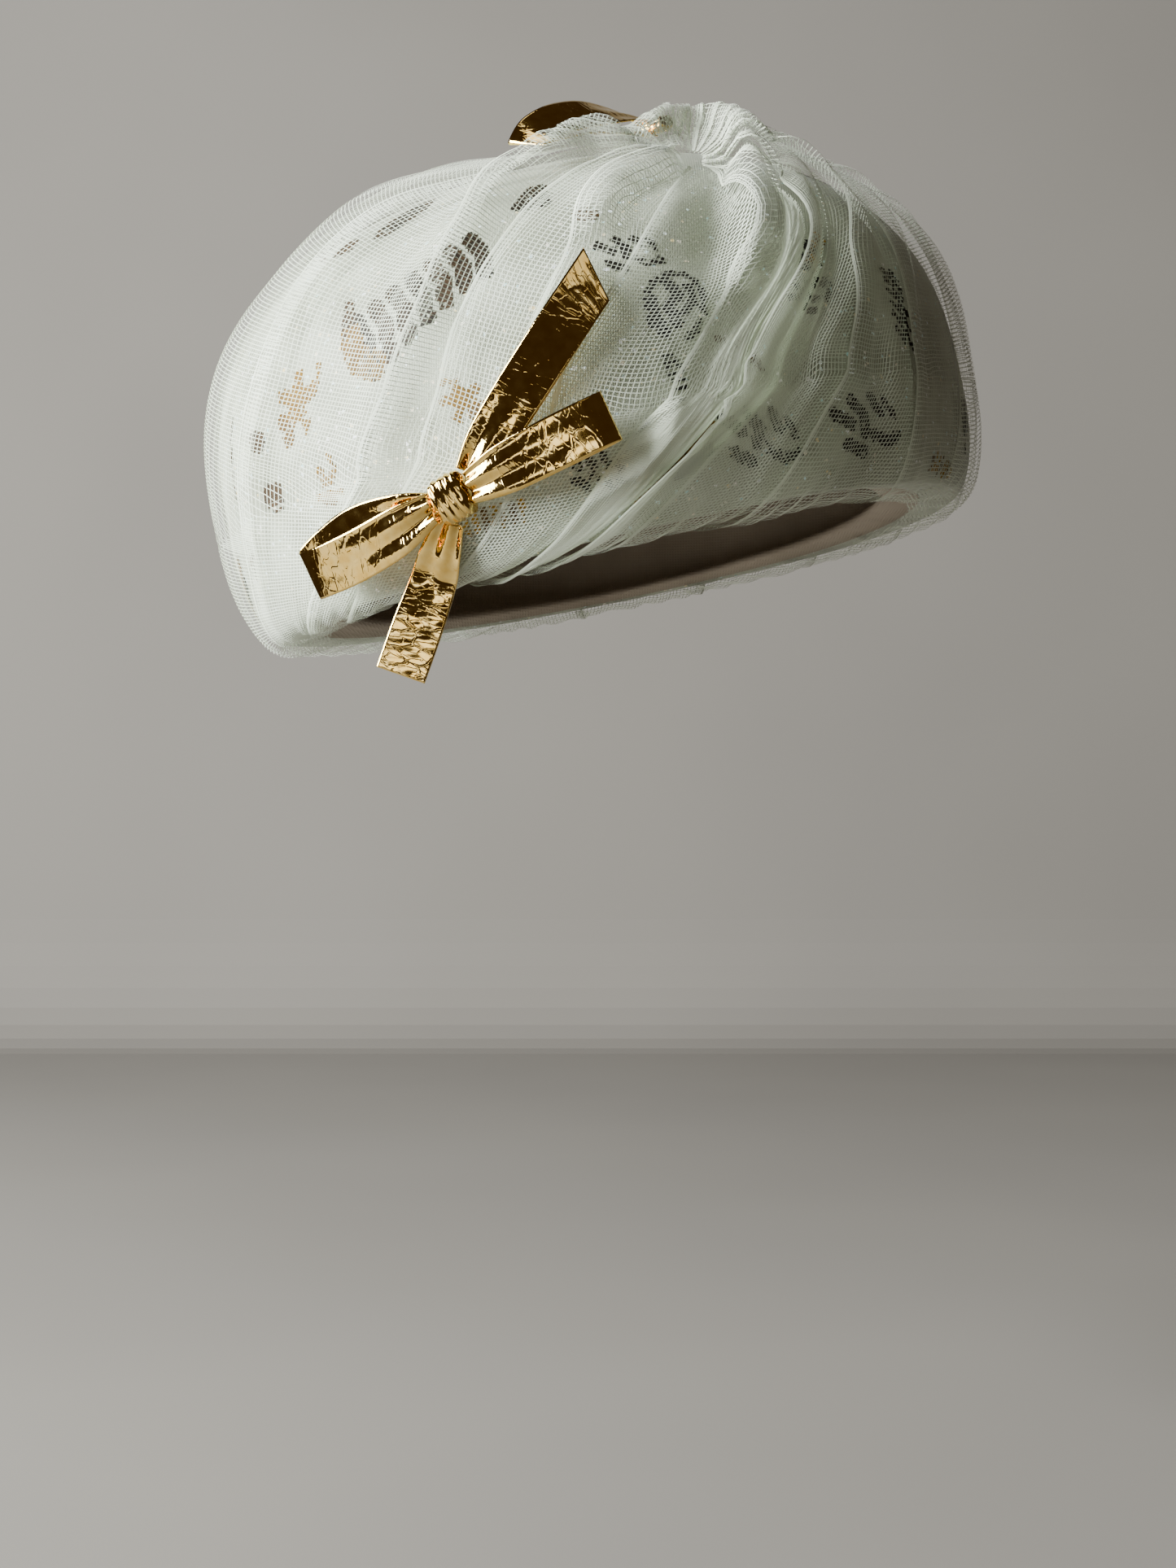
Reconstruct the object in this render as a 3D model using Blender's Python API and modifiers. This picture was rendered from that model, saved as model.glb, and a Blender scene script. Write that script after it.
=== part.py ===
# Cocktail hat: a puffed brocade cap under gathered net, with foil ribbon bows.
# Blender 4.5, metres, +Z up, the hat's front towards -Y.
# The origin is the centre of the head opening. The hat is worn tilted, the wearer's left side up.

import math

import bmesh
import bpy
import numpy as np
from mathutils import Vector
from mathutils.bvhtree import BVHTree

MM = 0.001

# The head opening, from a head of about 55 cm round
OPENING_HALF_WIDTH = 79 * MM
OPENING_HALF_DEPTH = 97 * MM
WORN_TILT = math.radians(11.5)

# The puffed crown, measured on the net's outer face between its folds
CROWN_SHIFT_X = -3 * MM
CROWN_HALF_WIDTH = 112 * MM
CROWN_HALF_DEPTH = 116 * MM
CROWN_HEIGHT = 118.5 * MM
WIDEST_HEIGHT = 28 * MM
SHOULDER_POWER = 2.95
RIM_SHARE_OF_WIDTH = 0.90
RIM_DROP = 3.5 * MM

# The flat pattern is a disc of radius 1: the crown's top is its centre and the head opening its edge
WIDEST_AT = 0.72
RIM_AT = 0.92
NET_EDGE_AT = 0.97

NET_WALL = 1.2 * MM
NET_GAP = 0.9 * MM
CAP_WALL = 2.0 * MM
CAP_RINGS = 13
CAP_SIDES = 40

# The net is gathered at one place on the upper front, and its pleats run from there
GATHER = (0.18, -0.38)
NET_FRONT_LINES = 54
NET_BACK_LINES = 38
NET_RINGS = 21
FRONT_FAN = math.radians(170)
FRONT_FAN_MIDDLE = math.radians(-90)
# Where a line of the net ends round the rim, and the way it sets off from the gather (degrees)
LINE_ENDS = (-270, -180, -135, -118, -100, -75, -40, 0, 90, 180)
LINE_STARTS = (-260, -180, -140, -100, -25, 8, 30, 50, 100, 180)
LINE_BEND = 0.62
RING_CLOSENESS = 1.3
PLEAT_SAMPLES = 40
PLEAT_BLEND = 3.0
HEM_TAPER = 0.10
EASING_PASSES = 2

# Pleats as routes on the flat pattern: name, route, half width (mm),
# heights at the start, one third, two thirds and the end (mm), and how far the pleat leans over
PLEATS = (
    ("left_puff", ((-0.10, -0.10), (-0.26, -0.24), (-0.46, -0.38)), 30, (5, 5, 3, 0), 0.0),
    ("peak", ((0.13, -0.29), (0.06, -0.325), (-0.07, -0.46), (-0.28, -0.60), (-0.52, -0.60)),
     11, (7, 13, 6, 3), -0.3),
    ("peak_panel", ((0.10, -0.28), (0.04, -0.41), (-0.06, -0.56), (-0.20, -0.68)), 15, (3, 5, 3, 1), 0.0),
    ("left_ridge", ((-0.10, -0.24), (-0.18, -0.33), (-0.36, -0.43), (-0.60, -0.42)), 12, (2, 4, 4, 3), -0.3),
    ("rolled_tube", ((0.17, -0.37), (0.08, -0.44), (0.03, -0.56), (-0.06, -0.67), (-0.20, -0.76)),
     9, (4, 6, 5, 2), -0.5),
    ("centre", ((0.17, -0.45), (0.08, -0.60), (-0.03, -0.70), (-0.16, -0.79)), 9, (2, 4, 3, 2), 0.3),
    ("arch_inner", ((0.11, -0.30), (0.18, -0.26), (0.24, -0.34), (0.26, -0.55), (0.12, -0.69), (-0.10, -0.82)),
     9, (6, 13, 9, 3), -0.3),
    ("arch_outer", ((0.13, -0.26), (0.20, -0.22), (0.31, -0.38), (0.32, -0.58), (0.20, -0.71), (0.00, -0.85)),
     11, (7, 13, 9, 3), -0.4),
    ("lit_band", ((0.24, -0.16), (0.35, -0.36), (0.44, -0.46), (0.40, -0.60), (0.30, -0.80)),
     11, (4, 8, 7, 3), -0.5),
    ("right_front", ((0.34, -0.16), (0.46, -0.34), (0.52, -0.52), (0.60, -0.62)), 11, (3, 5, 5, 3), -0.3),
    ("right_side", ((0.36, -0.06), (0.56, -0.20), (0.72, -0.36)), 12, (3, 4, 4, 2), -0.2),
    ("right_back", ((0.30, 0.04), (0.52, 0.12), (0.78, 0.18)), 13, (3, 4, 4, 2), 0.2),
    ("back_right", ((0.20, 0.10), (0.34, 0.38), (0.44, 0.70)), 13, (3, 5, 5, 2), 0.2),
    ("back_middle", ((0.08, 0.06), (0.04, 0.42), (-0.04, 0.80)), 13, (3, 5, 5, 2), 0.2),
    ("back_left", ((-0.04, 0.00), (-0.26, 0.34), (-0.48, 0.62)), 13, (2, 5, 5, 2), -0.2),
    ("left_back", ((-0.12, -0.08), (-0.46, 0.10), (-0.78, 0.20)), 13, (2, 4, 4, 2), -0.2),
)

# The rim rises a little over the wearer's left brow
RIM_LIFT = 3.5 * MM
RIM_LIFT_TOWARDS = math.radians(-40)

# Foil ribbon, half an inch wide
RIBBON_WIDTH = 13 * MM
RIBBON_WALL = 0.8 * MM
RIBBON_OVER_NET = 1.2 * MM
NET_SEARCH = 40 * MM
STEPS_PER_STATION = 4

# The front bow's knot: its place as seen from the front, its size and how it turns with the bow
KNOT_X = -41 * MM
KNOT_Z = 17 * MM
KNOT_SIZE = (10 * MM, 8.4 * MM, 13 * MM)
KNOT_TURN = math.radians(-15)

# The bow's ribbons: name, the way it sets off from the knot (degrees), how far its end is cut on
# a slant and how far it hangs free below the rim (mm), then its stations as
# distance from the knot's middle, height off the crown, sideways shift and width (mm)
BOW_RIBBONS = (
    ("front_bow_loop_right", 13.5, 0, 0, (
        (4.9, 7.2, 0, 8), (14, 9.0, 0, 12), (26, 9.8, 0, 13), (37, 10.2, 0, 13), (41.5, 8.4, 0, 13),
        (38, 6.2, 0, 13), (26, 5.9, 0, 13), (14, 5.6, 0, 12), (4.9, 4.6, 0, 8),
    )),
    ("front_bow_loop_left", 193, 0, 0, (
        (4.9, 7.2, 0, 8), (13, 9.4, 1, 12), (24, 10.6, 1, 13), (33, 11.2, 0, 13), (37.5, 9.0, -1, 13),
        (34, 6.4, -3, 13), (24, 6.0, -4, 13), (13, 5.7, -2, 12), (4.9, 4.6, 0, 8),
    )),
    ("front_bow_tail_up", 45, 8, 0, (
        (6.0, 2.6, 0, 8), (15, 3.9, 0, 12), (30, 5.4, 0, 13), (46, 6.4, 0, 13), (62, 6.6, 0, 13),
    )),
    ("front_bow_tail_down", 240, 0, 26, (
        (6.3, 2.6, 0, 8), (14, 3.0, 0, 11), (19, 3.6, 0, 12),
    )),
)
# The way the lower tail hangs below the rim (degrees)
TAIL_HANG = 239

# The loop on the crown: from a knot behind the peak pleat down towards the front left and back
# share of the way, height off the crown and width (mm), and lean of the band towards the front (degrees)
CROWN_KNOT = (0.140, -0.160)
CROWN_LOOP_END = (-0.015, -0.315)
CROWN_LOOP = (
    (0.05, 6.0, 8, 0), (0.20, 7.8, 10, 16), (0.42, 9.2, 12, 32), (0.66, 9.6, 12.5, 34), (0.86, 8.6, 13, 24),
    (0.98, 6.2, 13, 8), (0.97, 3.8, 13, 0), (0.84, 2.7, 12.5, 0), (0.60, 2.5, 12, 0), (0.30, 2.4, 10, 0),
    (0.05, 2.4, 8, 0),
)
CROWN_KNOT_SIZE = (9 * MM, 7 * MM, 4.4 * MM)
KNOT_GAP = 0.4 * MM
KNOT_OVER_NET = 0.15 * MM

PIECE_COLOURS = {
    "brocade_cap": ((0.86, 0.84, 0.78), 0.55, 0.0),
    "net_drape": ((0.90, 0.90, 0.84), 0.85, 0.0),
    "foil": ((0.78, 0.55, 0.20), 0.18, 1.0),
}


def clear_scene():
    for obj in list(bpy.data.objects):
        bpy.data.objects.remove(obj, do_unlink=True)


def crown_ring(share):
    """Half width, half depth and height of the crown's ring at a share of the way to the opening."""
    if share <= WIDEST_AT:
        angle = share / WIDEST_AT * math.pi / 2
        reach = math.sin(angle)
        rise = max(math.cos(angle), 0.0) ** (2 / SHOULDER_POWER)
        height = WIDEST_HEIGHT + (CROWN_HEIGHT - WIDEST_HEIGHT) * rise
    elif share <= RIM_AT:
        angle = (share - WIDEST_AT) / (RIM_AT - WIDEST_AT) * math.pi / 2
        reach = RIM_SHARE_OF_WIDTH + (1 - RIM_SHARE_OF_WIDTH) * math.cos(angle)
        height = WIDEST_HEIGHT - (WIDEST_HEIGHT + RIM_DROP) * math.sin(angle)
    else:
        along = (share - RIM_AT) / (1 - RIM_AT)
        rim_width = RIM_SHARE_OF_WIDTH * CROWN_HALF_WIDTH
        rim_depth = RIM_SHARE_OF_WIDTH * CROWN_HALF_DEPTH
        return (
            rim_width + (OPENING_HALF_WIDTH - rim_width) * along,
            rim_depth + (OPENING_HALF_DEPTH - rim_depth) * along,
            -RIM_DROP + RIM_DROP * along * along,
        )
    return CROWN_HALF_WIDTH * reach, CROWN_HALF_DEPTH * reach, height


def rim_lift(azimuth, share):
    """The rim's rise over the wearer's left brow, fading out up the crown."""
    facing = max(0.0, math.cos(azimuth - RIM_LIFT_TOWARDS))
    low = min(1.0, max(0.0, (share - 0.5) / (RIM_AT - 0.5)))
    return RIM_LIFT * facing ** 2 * low ** 2


def crown_point(azimuth, share):
    half_width, half_depth, height = crown_ring(share)
    return Vector((
        CROWN_SHIFT_X + half_width * math.cos(azimuth),
        half_depth * math.sin(azimuth),
        height + rim_lift(azimuth, share),
    ))


def crown_normal(azimuth, share):
    step = 0.004
    near, far = max(share - step, step), min(share + step, 1.0)
    down = crown_point(azimuth, far) - crown_point(azimuth, near)
    around = crown_point(azimuth + step, max(share, step)) - crown_point(azimuth - step, max(share, step))
    normal = down.cross(around)
    if share < step:
        return Vector((0, 0, 1))
    return normal.normalized()


def pattern_place(across, depth):
    """The crown point and outward normal under a place on the flat pattern."""
    share = math.hypot(across, depth)
    azimuth = math.atan2(depth, across) if share > 0 else 0.0
    return crown_point(azimuth, share), crown_normal(azimuth, share)


def smooth_route(points, samples):
    """Samples of a smooth curve through the given points (Catmull-Rom)."""
    ends = [points[0]] + list(points) + [points[-1]]
    knots = [np.array(point, float) for point in ends]
    route = []
    spans = len(points) - 1
    for index in range(samples):
        place = index / (samples - 1) * spans
        span = min(int(place), spans - 1)
        t = place - span
        before, start, end, after = knots[span:span + 4]
        route.append(
            0.5 * (
                2 * start
                + (end - before) * t
                + (2 * before - 5 * start + 4 * end - after) * t ** 2
                + (3 * start - before - 3 * end + after) * t ** 3
            )
        )
    return np.array(route)


def pleat_curves():
    """Each pleat as points on the crown, its sideways directions, and its sizes along the way."""
    curves = []
    along = np.linspace(0, 1, PLEAT_SAMPLES)
    for _, route, half_width, heights, lean in PLEATS:
        places = [pattern_place(*place) for place in smooth_route(route, PLEAT_SAMPLES)]
        points = np.array([place[0] for place in places])
        normals = np.array([place[1] for place in places])
        sideways = np.cross(normals, np.gradient(points, axis=0))
        sideways /= np.linalg.norm(sideways, axis=1)[:, None]
        rises = np.interp(along, np.linspace(0, 1, len(heights)), heights) * MM
        curves.append((points, sideways, rises, half_width * MM, lean))
    return curves


def pleat_shift(point, normal, curves):
    """How far the net stands off the crown at a point, and how far its pleats lean over."""
    total = 0.0
    leaning = np.zeros(3)
    for points, sideways, heights, half_width, lean in curves:
        apart = np.linalg.norm(points - point, axis=1)
        nearest = int(np.argmin(apart))
        across = apart[nearest] / half_width
        if across >= 1:
            continue
        height = heights[nearest] * (1 - across ** 2) ** 2
        total += height ** PLEAT_BLEND
        leaning += sideways[nearest] * lean * height
    return normal * total ** (1 / PLEAT_BLEND) + leaning


def net_line_angles():
    """Directions of the net's lines round the gather, closer together where the pleats are."""
    front = np.linspace(-FRONT_FAN / 2, FRONT_FAN / 2, NET_FRONT_LINES) + FRONT_FAN_MIDDLE
    back = np.linspace(FRONT_FAN / 2, 2 * math.pi - FRONT_FAN / 2, NET_BACK_LINES + 2)[1:-1]
    return np.concatenate([front, back + FRONT_FAN_MIDDLE])


def net_line(end_angle, spread):
    """A place on the flat pattern, on the line that bends from the gather to the net's edge."""
    end = NET_EDGE_AT * np.array((math.cos(end_angle), math.sin(end_angle)))
    gather = np.array(GATHER)
    turned = math.radians(np.interp(math.degrees(end_angle), LINE_ENDS, LINE_STARTS))
    reach = LINE_BEND * float(np.linalg.norm(end - gather))
    bend = gather + reach * np.array((math.cos(turned), math.sin(turned)))
    back = 1 - spread
    return back ** 2 * gather + 2 * spread * back * bend + spread ** 2 * end


def net_shift(place, curves):
    """How the net's pleats move it from the crown at a place on the flat pattern."""
    point, normal = pattern_place(*place)
    free = min(1.0, (NET_EDGE_AT - math.hypot(*place)) / HEM_TAPER)
    return pleat_shift(np.array(point), np.array(normal), curves) * free


def eased(shifts):
    """Pleat shifts on the net's grid, each averaged with its neighbours so that no ridge is jagged."""
    for _ in range(EASING_PASSES):
        around = (np.roll(shifts, 1, axis=1) + np.roll(shifts, -1, axis=1)) / 2
        ends = np.concatenate([shifts[:1], shifts, shifts[-1:]])
        along = (ends[:-2] + ends[2:]) / 2
        shifts = shifts * 0.5 + around * 0.15 + along * 0.35
    return shifts


def net_surface():
    """The gathered net's outer face: rings spread from the gather point to its edge under the rim."""
    curves = pleat_curves()
    mesh = bmesh.new()
    spreads = [(ring / NET_RINGS) ** RING_CLOSENESS for ring in range(1, NET_RINGS + 1)]
    places = [[net_line(angle, spread) for angle in net_line_angles()] for spread in spreads]
    shifts = eased(np.array([[net_shift(place, curves) for place in ring] for ring in places]))
    rings = [
        [mesh.verts.new(pattern_place(*place)[0] + Vector(shift)) for place, shift in zip(*rows)]
        for rows in zip(places, shifts)
    ]
    pole = mesh.verts.new(pattern_place(*GATHER)[0] + Vector(shifts[0].mean(axis=0)))
    close_rings(mesh, pole, rings)
    bmesh.ops.recalc_face_normals(mesh, faces=mesh.faces)
    return mesh


def close_rings(mesh, pole, rings):
    """Faces from a pole over a row of closed rings."""
    count = len(rings[0])
    for index in range(count):
        after = (index + 1) % count
        mesh.faces.new((pole, rings[0][index], rings[0][after]))
        for inner, outer in zip(rings, rings[1:]):
            mesh.faces.new((inner[index], outer[index], outer[after], inner[after]))


def brocade_cap():
    """The puffed foundation: the crown's shape a little inside the net, turned under to the opening."""
    inset = NET_WALL + NET_GAP
    mesh = bmesh.new()
    top, up = pattern_place(0, 0)
    pole = mesh.verts.new(top - up * inset)
    rings = []
    for ring in range(1, CAP_RINGS + 1):
        share = ring / CAP_RINGS
        azimuths = [2 * math.pi * side / CAP_SIDES for side in range(CAP_SIDES)]
        rings.append([
            mesh.verts.new(crown_point(azimuth, share) - crown_normal(azimuth, share) * inset)
            for azimuth in azimuths
        ])
    close_rings(mesh, pole, rings)
    bmesh.ops.recalc_face_normals(mesh, faces=mesh.faces)
    return solid_from(mesh, "brocade_cap", CAP_WALL)


def solid_from(mesh, name, wall):
    """A walled object from an open surface, its wall growing inwards."""
    data = bpy.data.meshes.new(name)
    mesh.to_mesh(data)
    mesh.free()
    obj = bpy.data.objects.new(name, data)
    shell = obj.modifiers.new("wall", "SOLIDIFY")
    shell.thickness = wall
    shell.offset = -1.0
    data.shade_smooth()
    return obj


def front_place(x, z):
    """The place on the flat pattern that is seen from the front at x and z."""
    if z >= WIDEST_HEIGHT:
        rise = min((z - WIDEST_HEIGHT) / (CROWN_HEIGHT - WIDEST_HEIGHT), 1.0)
        angle = math.acos(rise ** (SHOULDER_POWER / 2))
        share = angle / (math.pi / 2) * WIDEST_AT
    else:
        drop = min((WIDEST_HEIGHT - z) / (WIDEST_HEIGHT + RIM_DROP), 1.0)
        share = WIDEST_AT + math.asin(drop) / (math.pi / 2) * (RIM_AT - WIDEST_AT)
    half_width = crown_ring(share)[0]
    azimuth = -math.acos(max(-1.0, min(1.0, (x - CROWN_SHIFT_X) / half_width)))
    return np.array((share * math.cos(azimuth), share * math.sin(azimuth)))


def over_net(place, stand_off, across, width, net):
    """A ribbon's middle over the crown: at its height, or just over the net where that is higher."""
    point, normal = pattern_place(*place)
    height = stand_off
    for side in (-1, -0.5, 0, 0.5, 1):
        beside = pattern_place(*(place + across * width / 2 * side))[0]
        hit = net.ray_cast(beside + normal * NET_SEARCH, -normal)[0]
        if hit is not None:
            height = max(height, (hit - point).dot(normal) + RIBBON_OVER_NET)
    return point + normal * height, normal


def ribbon(name, stations, slant=0.0):
    """A flat ribbon through stations of (middle point, way across, width), its end cut on a slant."""
    mesh = bmesh.new()
    samples = STEPS_PER_STATION * (len(stations) - 1) + 1
    middles = smooth_route([tuple(station[0]) for station in stations], samples)
    across = smooth_route([tuple(station[1]) for station in stations], samples)
    widths = smooth_route([(station[2],) for station in stations], samples)
    rows = []
    for middle, direction, width in zip(middles, across, widths):
        half = Vector(direction).normalized() * float(width[0]) / 2
        rows.append((mesh.verts.new(Vector(middle) - half), mesh.verts.new(Vector(middle) + half)))
    onward = Vector(middles[-1] - middles[-2]).normalized() * slant / 2
    rows[-1][0].co -= onward
    rows[-1][1].co += onward
    for (low, high), (next_low, next_high) in zip(rows, rows[1:]):
        mesh.faces.new((low, high, next_high, next_low))
    data = bpy.data.meshes.new(name)
    mesh.to_mesh(data)
    mesh.free()
    obj = bpy.data.objects.new(name, data)
    shell = obj.modifiers.new("wall", "SOLIDIFY")
    shell.thickness = RIBBON_WALL
    shell.offset = 0.0
    return obj


def bow_station(heading, row, net):
    """A ribbon's station over the hat's front: distance, height, shift and width in mm."""
    distance, stand_off, shift, width = (size * MM for size in row)
    along = Vector((math.cos(heading), 0, math.sin(heading)))
    side = Vector((-math.sin(heading), 0, math.cos(heading)))
    seen = Vector((KNOT_X, 0, KNOT_Z)) + along * distance + side * shift
    place = front_place(seen.x, seen.z)
    beside = front_place(seen.x + side.x * MM, seen.z + side.z * MM)
    middle, normal = over_net(place, stand_off, (beside - place) / MM, width, net)
    return middle, normal.cross(along).normalized(), width


def hanging(stations, drop):
    """A ribbon's stations carried on below the rim, where it hangs free facing the front."""
    last, across, width = stations[-1]
    heading = math.radians(TAIL_HANG)
    down = Vector((math.cos(heading), 0, math.sin(heading)))
    facing = Vector((-math.sin(heading), 0, math.cos(heading)))
    hung = [(last + down * drop * share, facing, RIBBON_WIDTH) for share in (0.5, 1.0)]
    return stations[:-1] + [(last, (across + facing) / 2, width)] + hung


def front_bow(net):
    pieces = []
    for name, degrees, slant, drop, rows in BOW_RIBBONS:
        stations = [bow_station(math.radians(degrees), row, net) for row in rows]
        if drop > 0:
            stations = hanging(stations, drop * MM)
        pieces.append(ribbon(name, stations, slant * MM))
    place = front_place(KNOT_X, KNOT_Z)
    beside = front_place(KNOT_X + MM, KNOT_Z)
    seat, normal = over_net(place, 0.0, (beside - place) / MM, KNOT_SIZE[0], net)
    seat += normal * (KNOT_OVER_NET - RIBBON_OVER_NET + KNOT_SIZE[1] / 2)
    pieces.append(knot("front_bow_knot", seat, normal, KNOT_SIZE, KNOT_TURN))
    return pieces


def knot(name, place, outward, size, turn):
    """A rounded pad of wrapped ribbon, its depth along the outward direction."""
    mesh = bmesh.new()
    bmesh.ops.create_cube(mesh, size=1.0)
    data = bpy.data.meshes.new(name)
    bmesh.ops.scale(mesh, vec=size, verts=mesh.verts)
    mesh.to_mesh(data)
    mesh.free()
    obj = bpy.data.objects.new(name, data)
    obj.location = place
    obj.rotation_euler = Vector(outward).to_track_quat("-Y", "Z").to_euler()
    obj.rotation_euler.rotate_axis("Y", turn)
    rounding = obj.modifiers.new("rounding", "BEVEL")
    rounding.width = min(size) * 0.32
    rounding.segments = 3
    return obj


def crown_loop(net):
    """The foil loop on the crown, and the knot that holds it behind the peak pleat."""
    start, end = np.array(CROWN_KNOT), np.array(CROWN_LOOP_END)
    along = pattern_place(*end)[0] - pattern_place(*start)[0]
    sideways = np.array((start[1] - end[1], end[0] - start[0])) / along.length
    stations = []
    for share, stand_off, width, lean in CROWN_LOOP:
        place = start + (end - start) * share
        middle, normal = over_net(place, stand_off * MM, sideways, width * MM, net)
        flat = normal.cross(along).normalized()
        across = flat * math.cos(math.radians(lean)) - normal * math.sin(math.radians(lean))
        stations.append((middle, across, width * MM))
    onward = along.normalized()
    ends = (stations[0][0] + stations[-1][0]) / 2
    nearer = min(stations[0][0].dot(onward), stations[-1][0].dot(onward))
    back = ends.dot(onward) - nearer + CROWN_KNOT_SIZE[1] / 2 + KNOT_GAP
    place = ends - onward * back
    tied = knot("crown_loop_knot", place, along, CROWN_KNOT_SIZE, 0.0)
    return [ribbon("crown_loop", stations), tied]


def main():
    clear_scene()
    collection = bpy.data.collections.new("cocktail_hat")
    bpy.context.scene.collection.children.link(collection)
    tilt = bpy.data.objects.new("worn_tilt", None)
    tilt.rotation_euler = (0, -WORN_TILT, 0)
    collection.objects.link(tilt)
    surface = net_surface()
    net = BVHTree.FromBMesh(surface)
    pieces = [brocade_cap(), solid_from(surface, "net_drape", NET_WALL)] + front_bow(net) + crown_loop(net)
    for obj in pieces:
        collection.objects.link(obj)
        obj.parent = tilt
        colour, roughness, metallic = PIECE_COLOURS.get(obj.name, PIECE_COLOURS["foil"])
        material = bpy.data.materials.new(obj.name)
        material.use_nodes = True
        shader = material.node_tree.nodes["Principled BSDF"]
        shader.inputs["Base Color"].default_value = (*colour, 1)
        shader.inputs["Roughness"].default_value = roughness
        shader.inputs["Metallic"].default_value = metallic
        obj.data.materials.append(material)


main()
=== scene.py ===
# Cocktail hat: figured brocade under pleated square-mesh net, with crinkled foil bows.
# Lengths are in millimetres in the hat's own upright frame until toWorld() tilts them as worn.
import math

import bpy
import numpy as np
from mathutils import Matrix, Quaternion, Vector, noise


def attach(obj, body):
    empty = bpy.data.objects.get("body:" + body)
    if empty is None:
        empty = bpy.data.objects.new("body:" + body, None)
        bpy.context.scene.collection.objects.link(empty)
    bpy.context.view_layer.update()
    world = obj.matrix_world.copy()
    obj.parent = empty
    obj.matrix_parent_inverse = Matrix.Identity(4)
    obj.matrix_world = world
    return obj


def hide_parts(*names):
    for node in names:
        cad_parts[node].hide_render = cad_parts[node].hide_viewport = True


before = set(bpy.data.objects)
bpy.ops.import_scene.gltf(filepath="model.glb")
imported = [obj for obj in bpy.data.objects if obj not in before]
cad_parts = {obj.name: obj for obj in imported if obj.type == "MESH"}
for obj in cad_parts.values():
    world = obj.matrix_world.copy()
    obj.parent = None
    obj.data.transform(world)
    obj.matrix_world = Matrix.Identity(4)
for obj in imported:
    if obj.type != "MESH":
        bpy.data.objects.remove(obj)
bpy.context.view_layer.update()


# Camera: level, at the photograph's height, the whole frame
cameraSettings = {"place": (-0.0115, -0.700, -0.0638), "lens": 54, "sensor": 36}


def addCamera():
    data = bpy.data.cameras.new("camera")
    data.lens = cameraSettings["lens"]
    data.sensor_fit = "VERTICAL"
    data.sensor_height = cameraSettings["sensor"]
    data.clip_start = 0.01
    cam = bpy.data.objects.new("camera", data)
    cam.location = cameraSettings["place"]
    cam.rotation_euler = (math.pi / 2, 0, 0)
    bpy.context.scene.collection.objects.link(cam)
    bpy.context.scene.camera = cam


addCamera()


# Small helpers
def unit(vectors):
    return vectors / np.maximum(np.linalg.norm(vectors, axis=-1, keepdims=True), 1e-9)


wornTilt = 11.5
tilt = math.radians(wornTilt)
tiltMatrix = np.array([
    [math.cos(tilt), 0, -math.sin(tilt)],
    [0, 1, 0],
    [math.sin(tilt), 0, math.cos(tilt)],
])


def toWorld(points):
    return (np.asarray(points) @ tiltMatrix.T) * 0.001


def smoothRoute(points, samples):
    knots = np.array([points[0]] + list(points) + [points[-1]], float)
    place = np.linspace(0, len(points) - 1, samples)
    span = np.minimum(place.astype(int), len(points) - 2)
    t = (place - span)[:, None]
    before, start, end, after = (knots[span + k] for k in range(4))
    return 0.5 * (
        2 * start + (end - before) * t + (2 * before - 5 * start + 4 * end - after) * t ** 2
        + (3 * start - before - 3 * end + after) * t ** 3
    )


def ramp(value, low, high):
    t = np.clip((value - low) / (high - low), 0, 1)
    return t * t * (3 - 2 * t)


def newObject(name, verts, faces, edges=()):
    mesh = bpy.data.meshes.new(name)
    mesh.from_pydata([tuple(v) for v in verts], [tuple(e) for e in edges], [tuple(f) for f in faces])
    obj = bpy.data.objects.new(name, mesh)
    bpy.context.scene.collection.objects.link(obj)
    return obj


def gridFaces(rows, columns, first=0, around=False):
    r, c = np.meshgrid(np.arange(rows - 1), np.arange(columns if around else columns - 1), indexing="ij")
    after = (c + 1) % columns
    here, beyond = r * columns, (r + 1) * columns
    corners = np.stack([here + c, beyond + c, beyond + after, here + after], -1)
    return (corners.reshape(-1, 4) + first).tolist()


def addMap(obj, coordinates, name="OFBake"):
    layer = obj.data.uv_layers.new(name=name)
    index = np.empty(len(obj.data.loops), int)
    obj.data.loops.foreach_get("vertex_index", index)
    layer.data.foreach_set("uv", np.asarray(coordinates, np.float32)[index].ravel())


def applyModifiers(obj):
    graph = bpy.context.evaluated_depsgraph_get()
    mesh = bpy.data.meshes.new_from_object(obj.evaluated_get(graph))
    obj.modifiers.clear()
    old = obj.data
    obj.data = mesh
    bpy.data.meshes.remove(old)
    mesh.name = obj.name
    return obj


# The crown, the same form as the solids have
crown = {
    "shiftX": -3.0, "halfWidth": 112.0, "halfDepth": 116.0, "height": 118.5, "widestZ": 28.0,
    "shoulder": 2.95, "rimReach": 0.90, "rimDrop": 3.5, "openWidth": 79.0, "openDepth": 97.0,
    "widestAt": 0.72, "rimAt": 0.92, "rimLift": 3.5, "liftTowards": -40, "capInset": 2.1, "capWall": 2.0,
}


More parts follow.
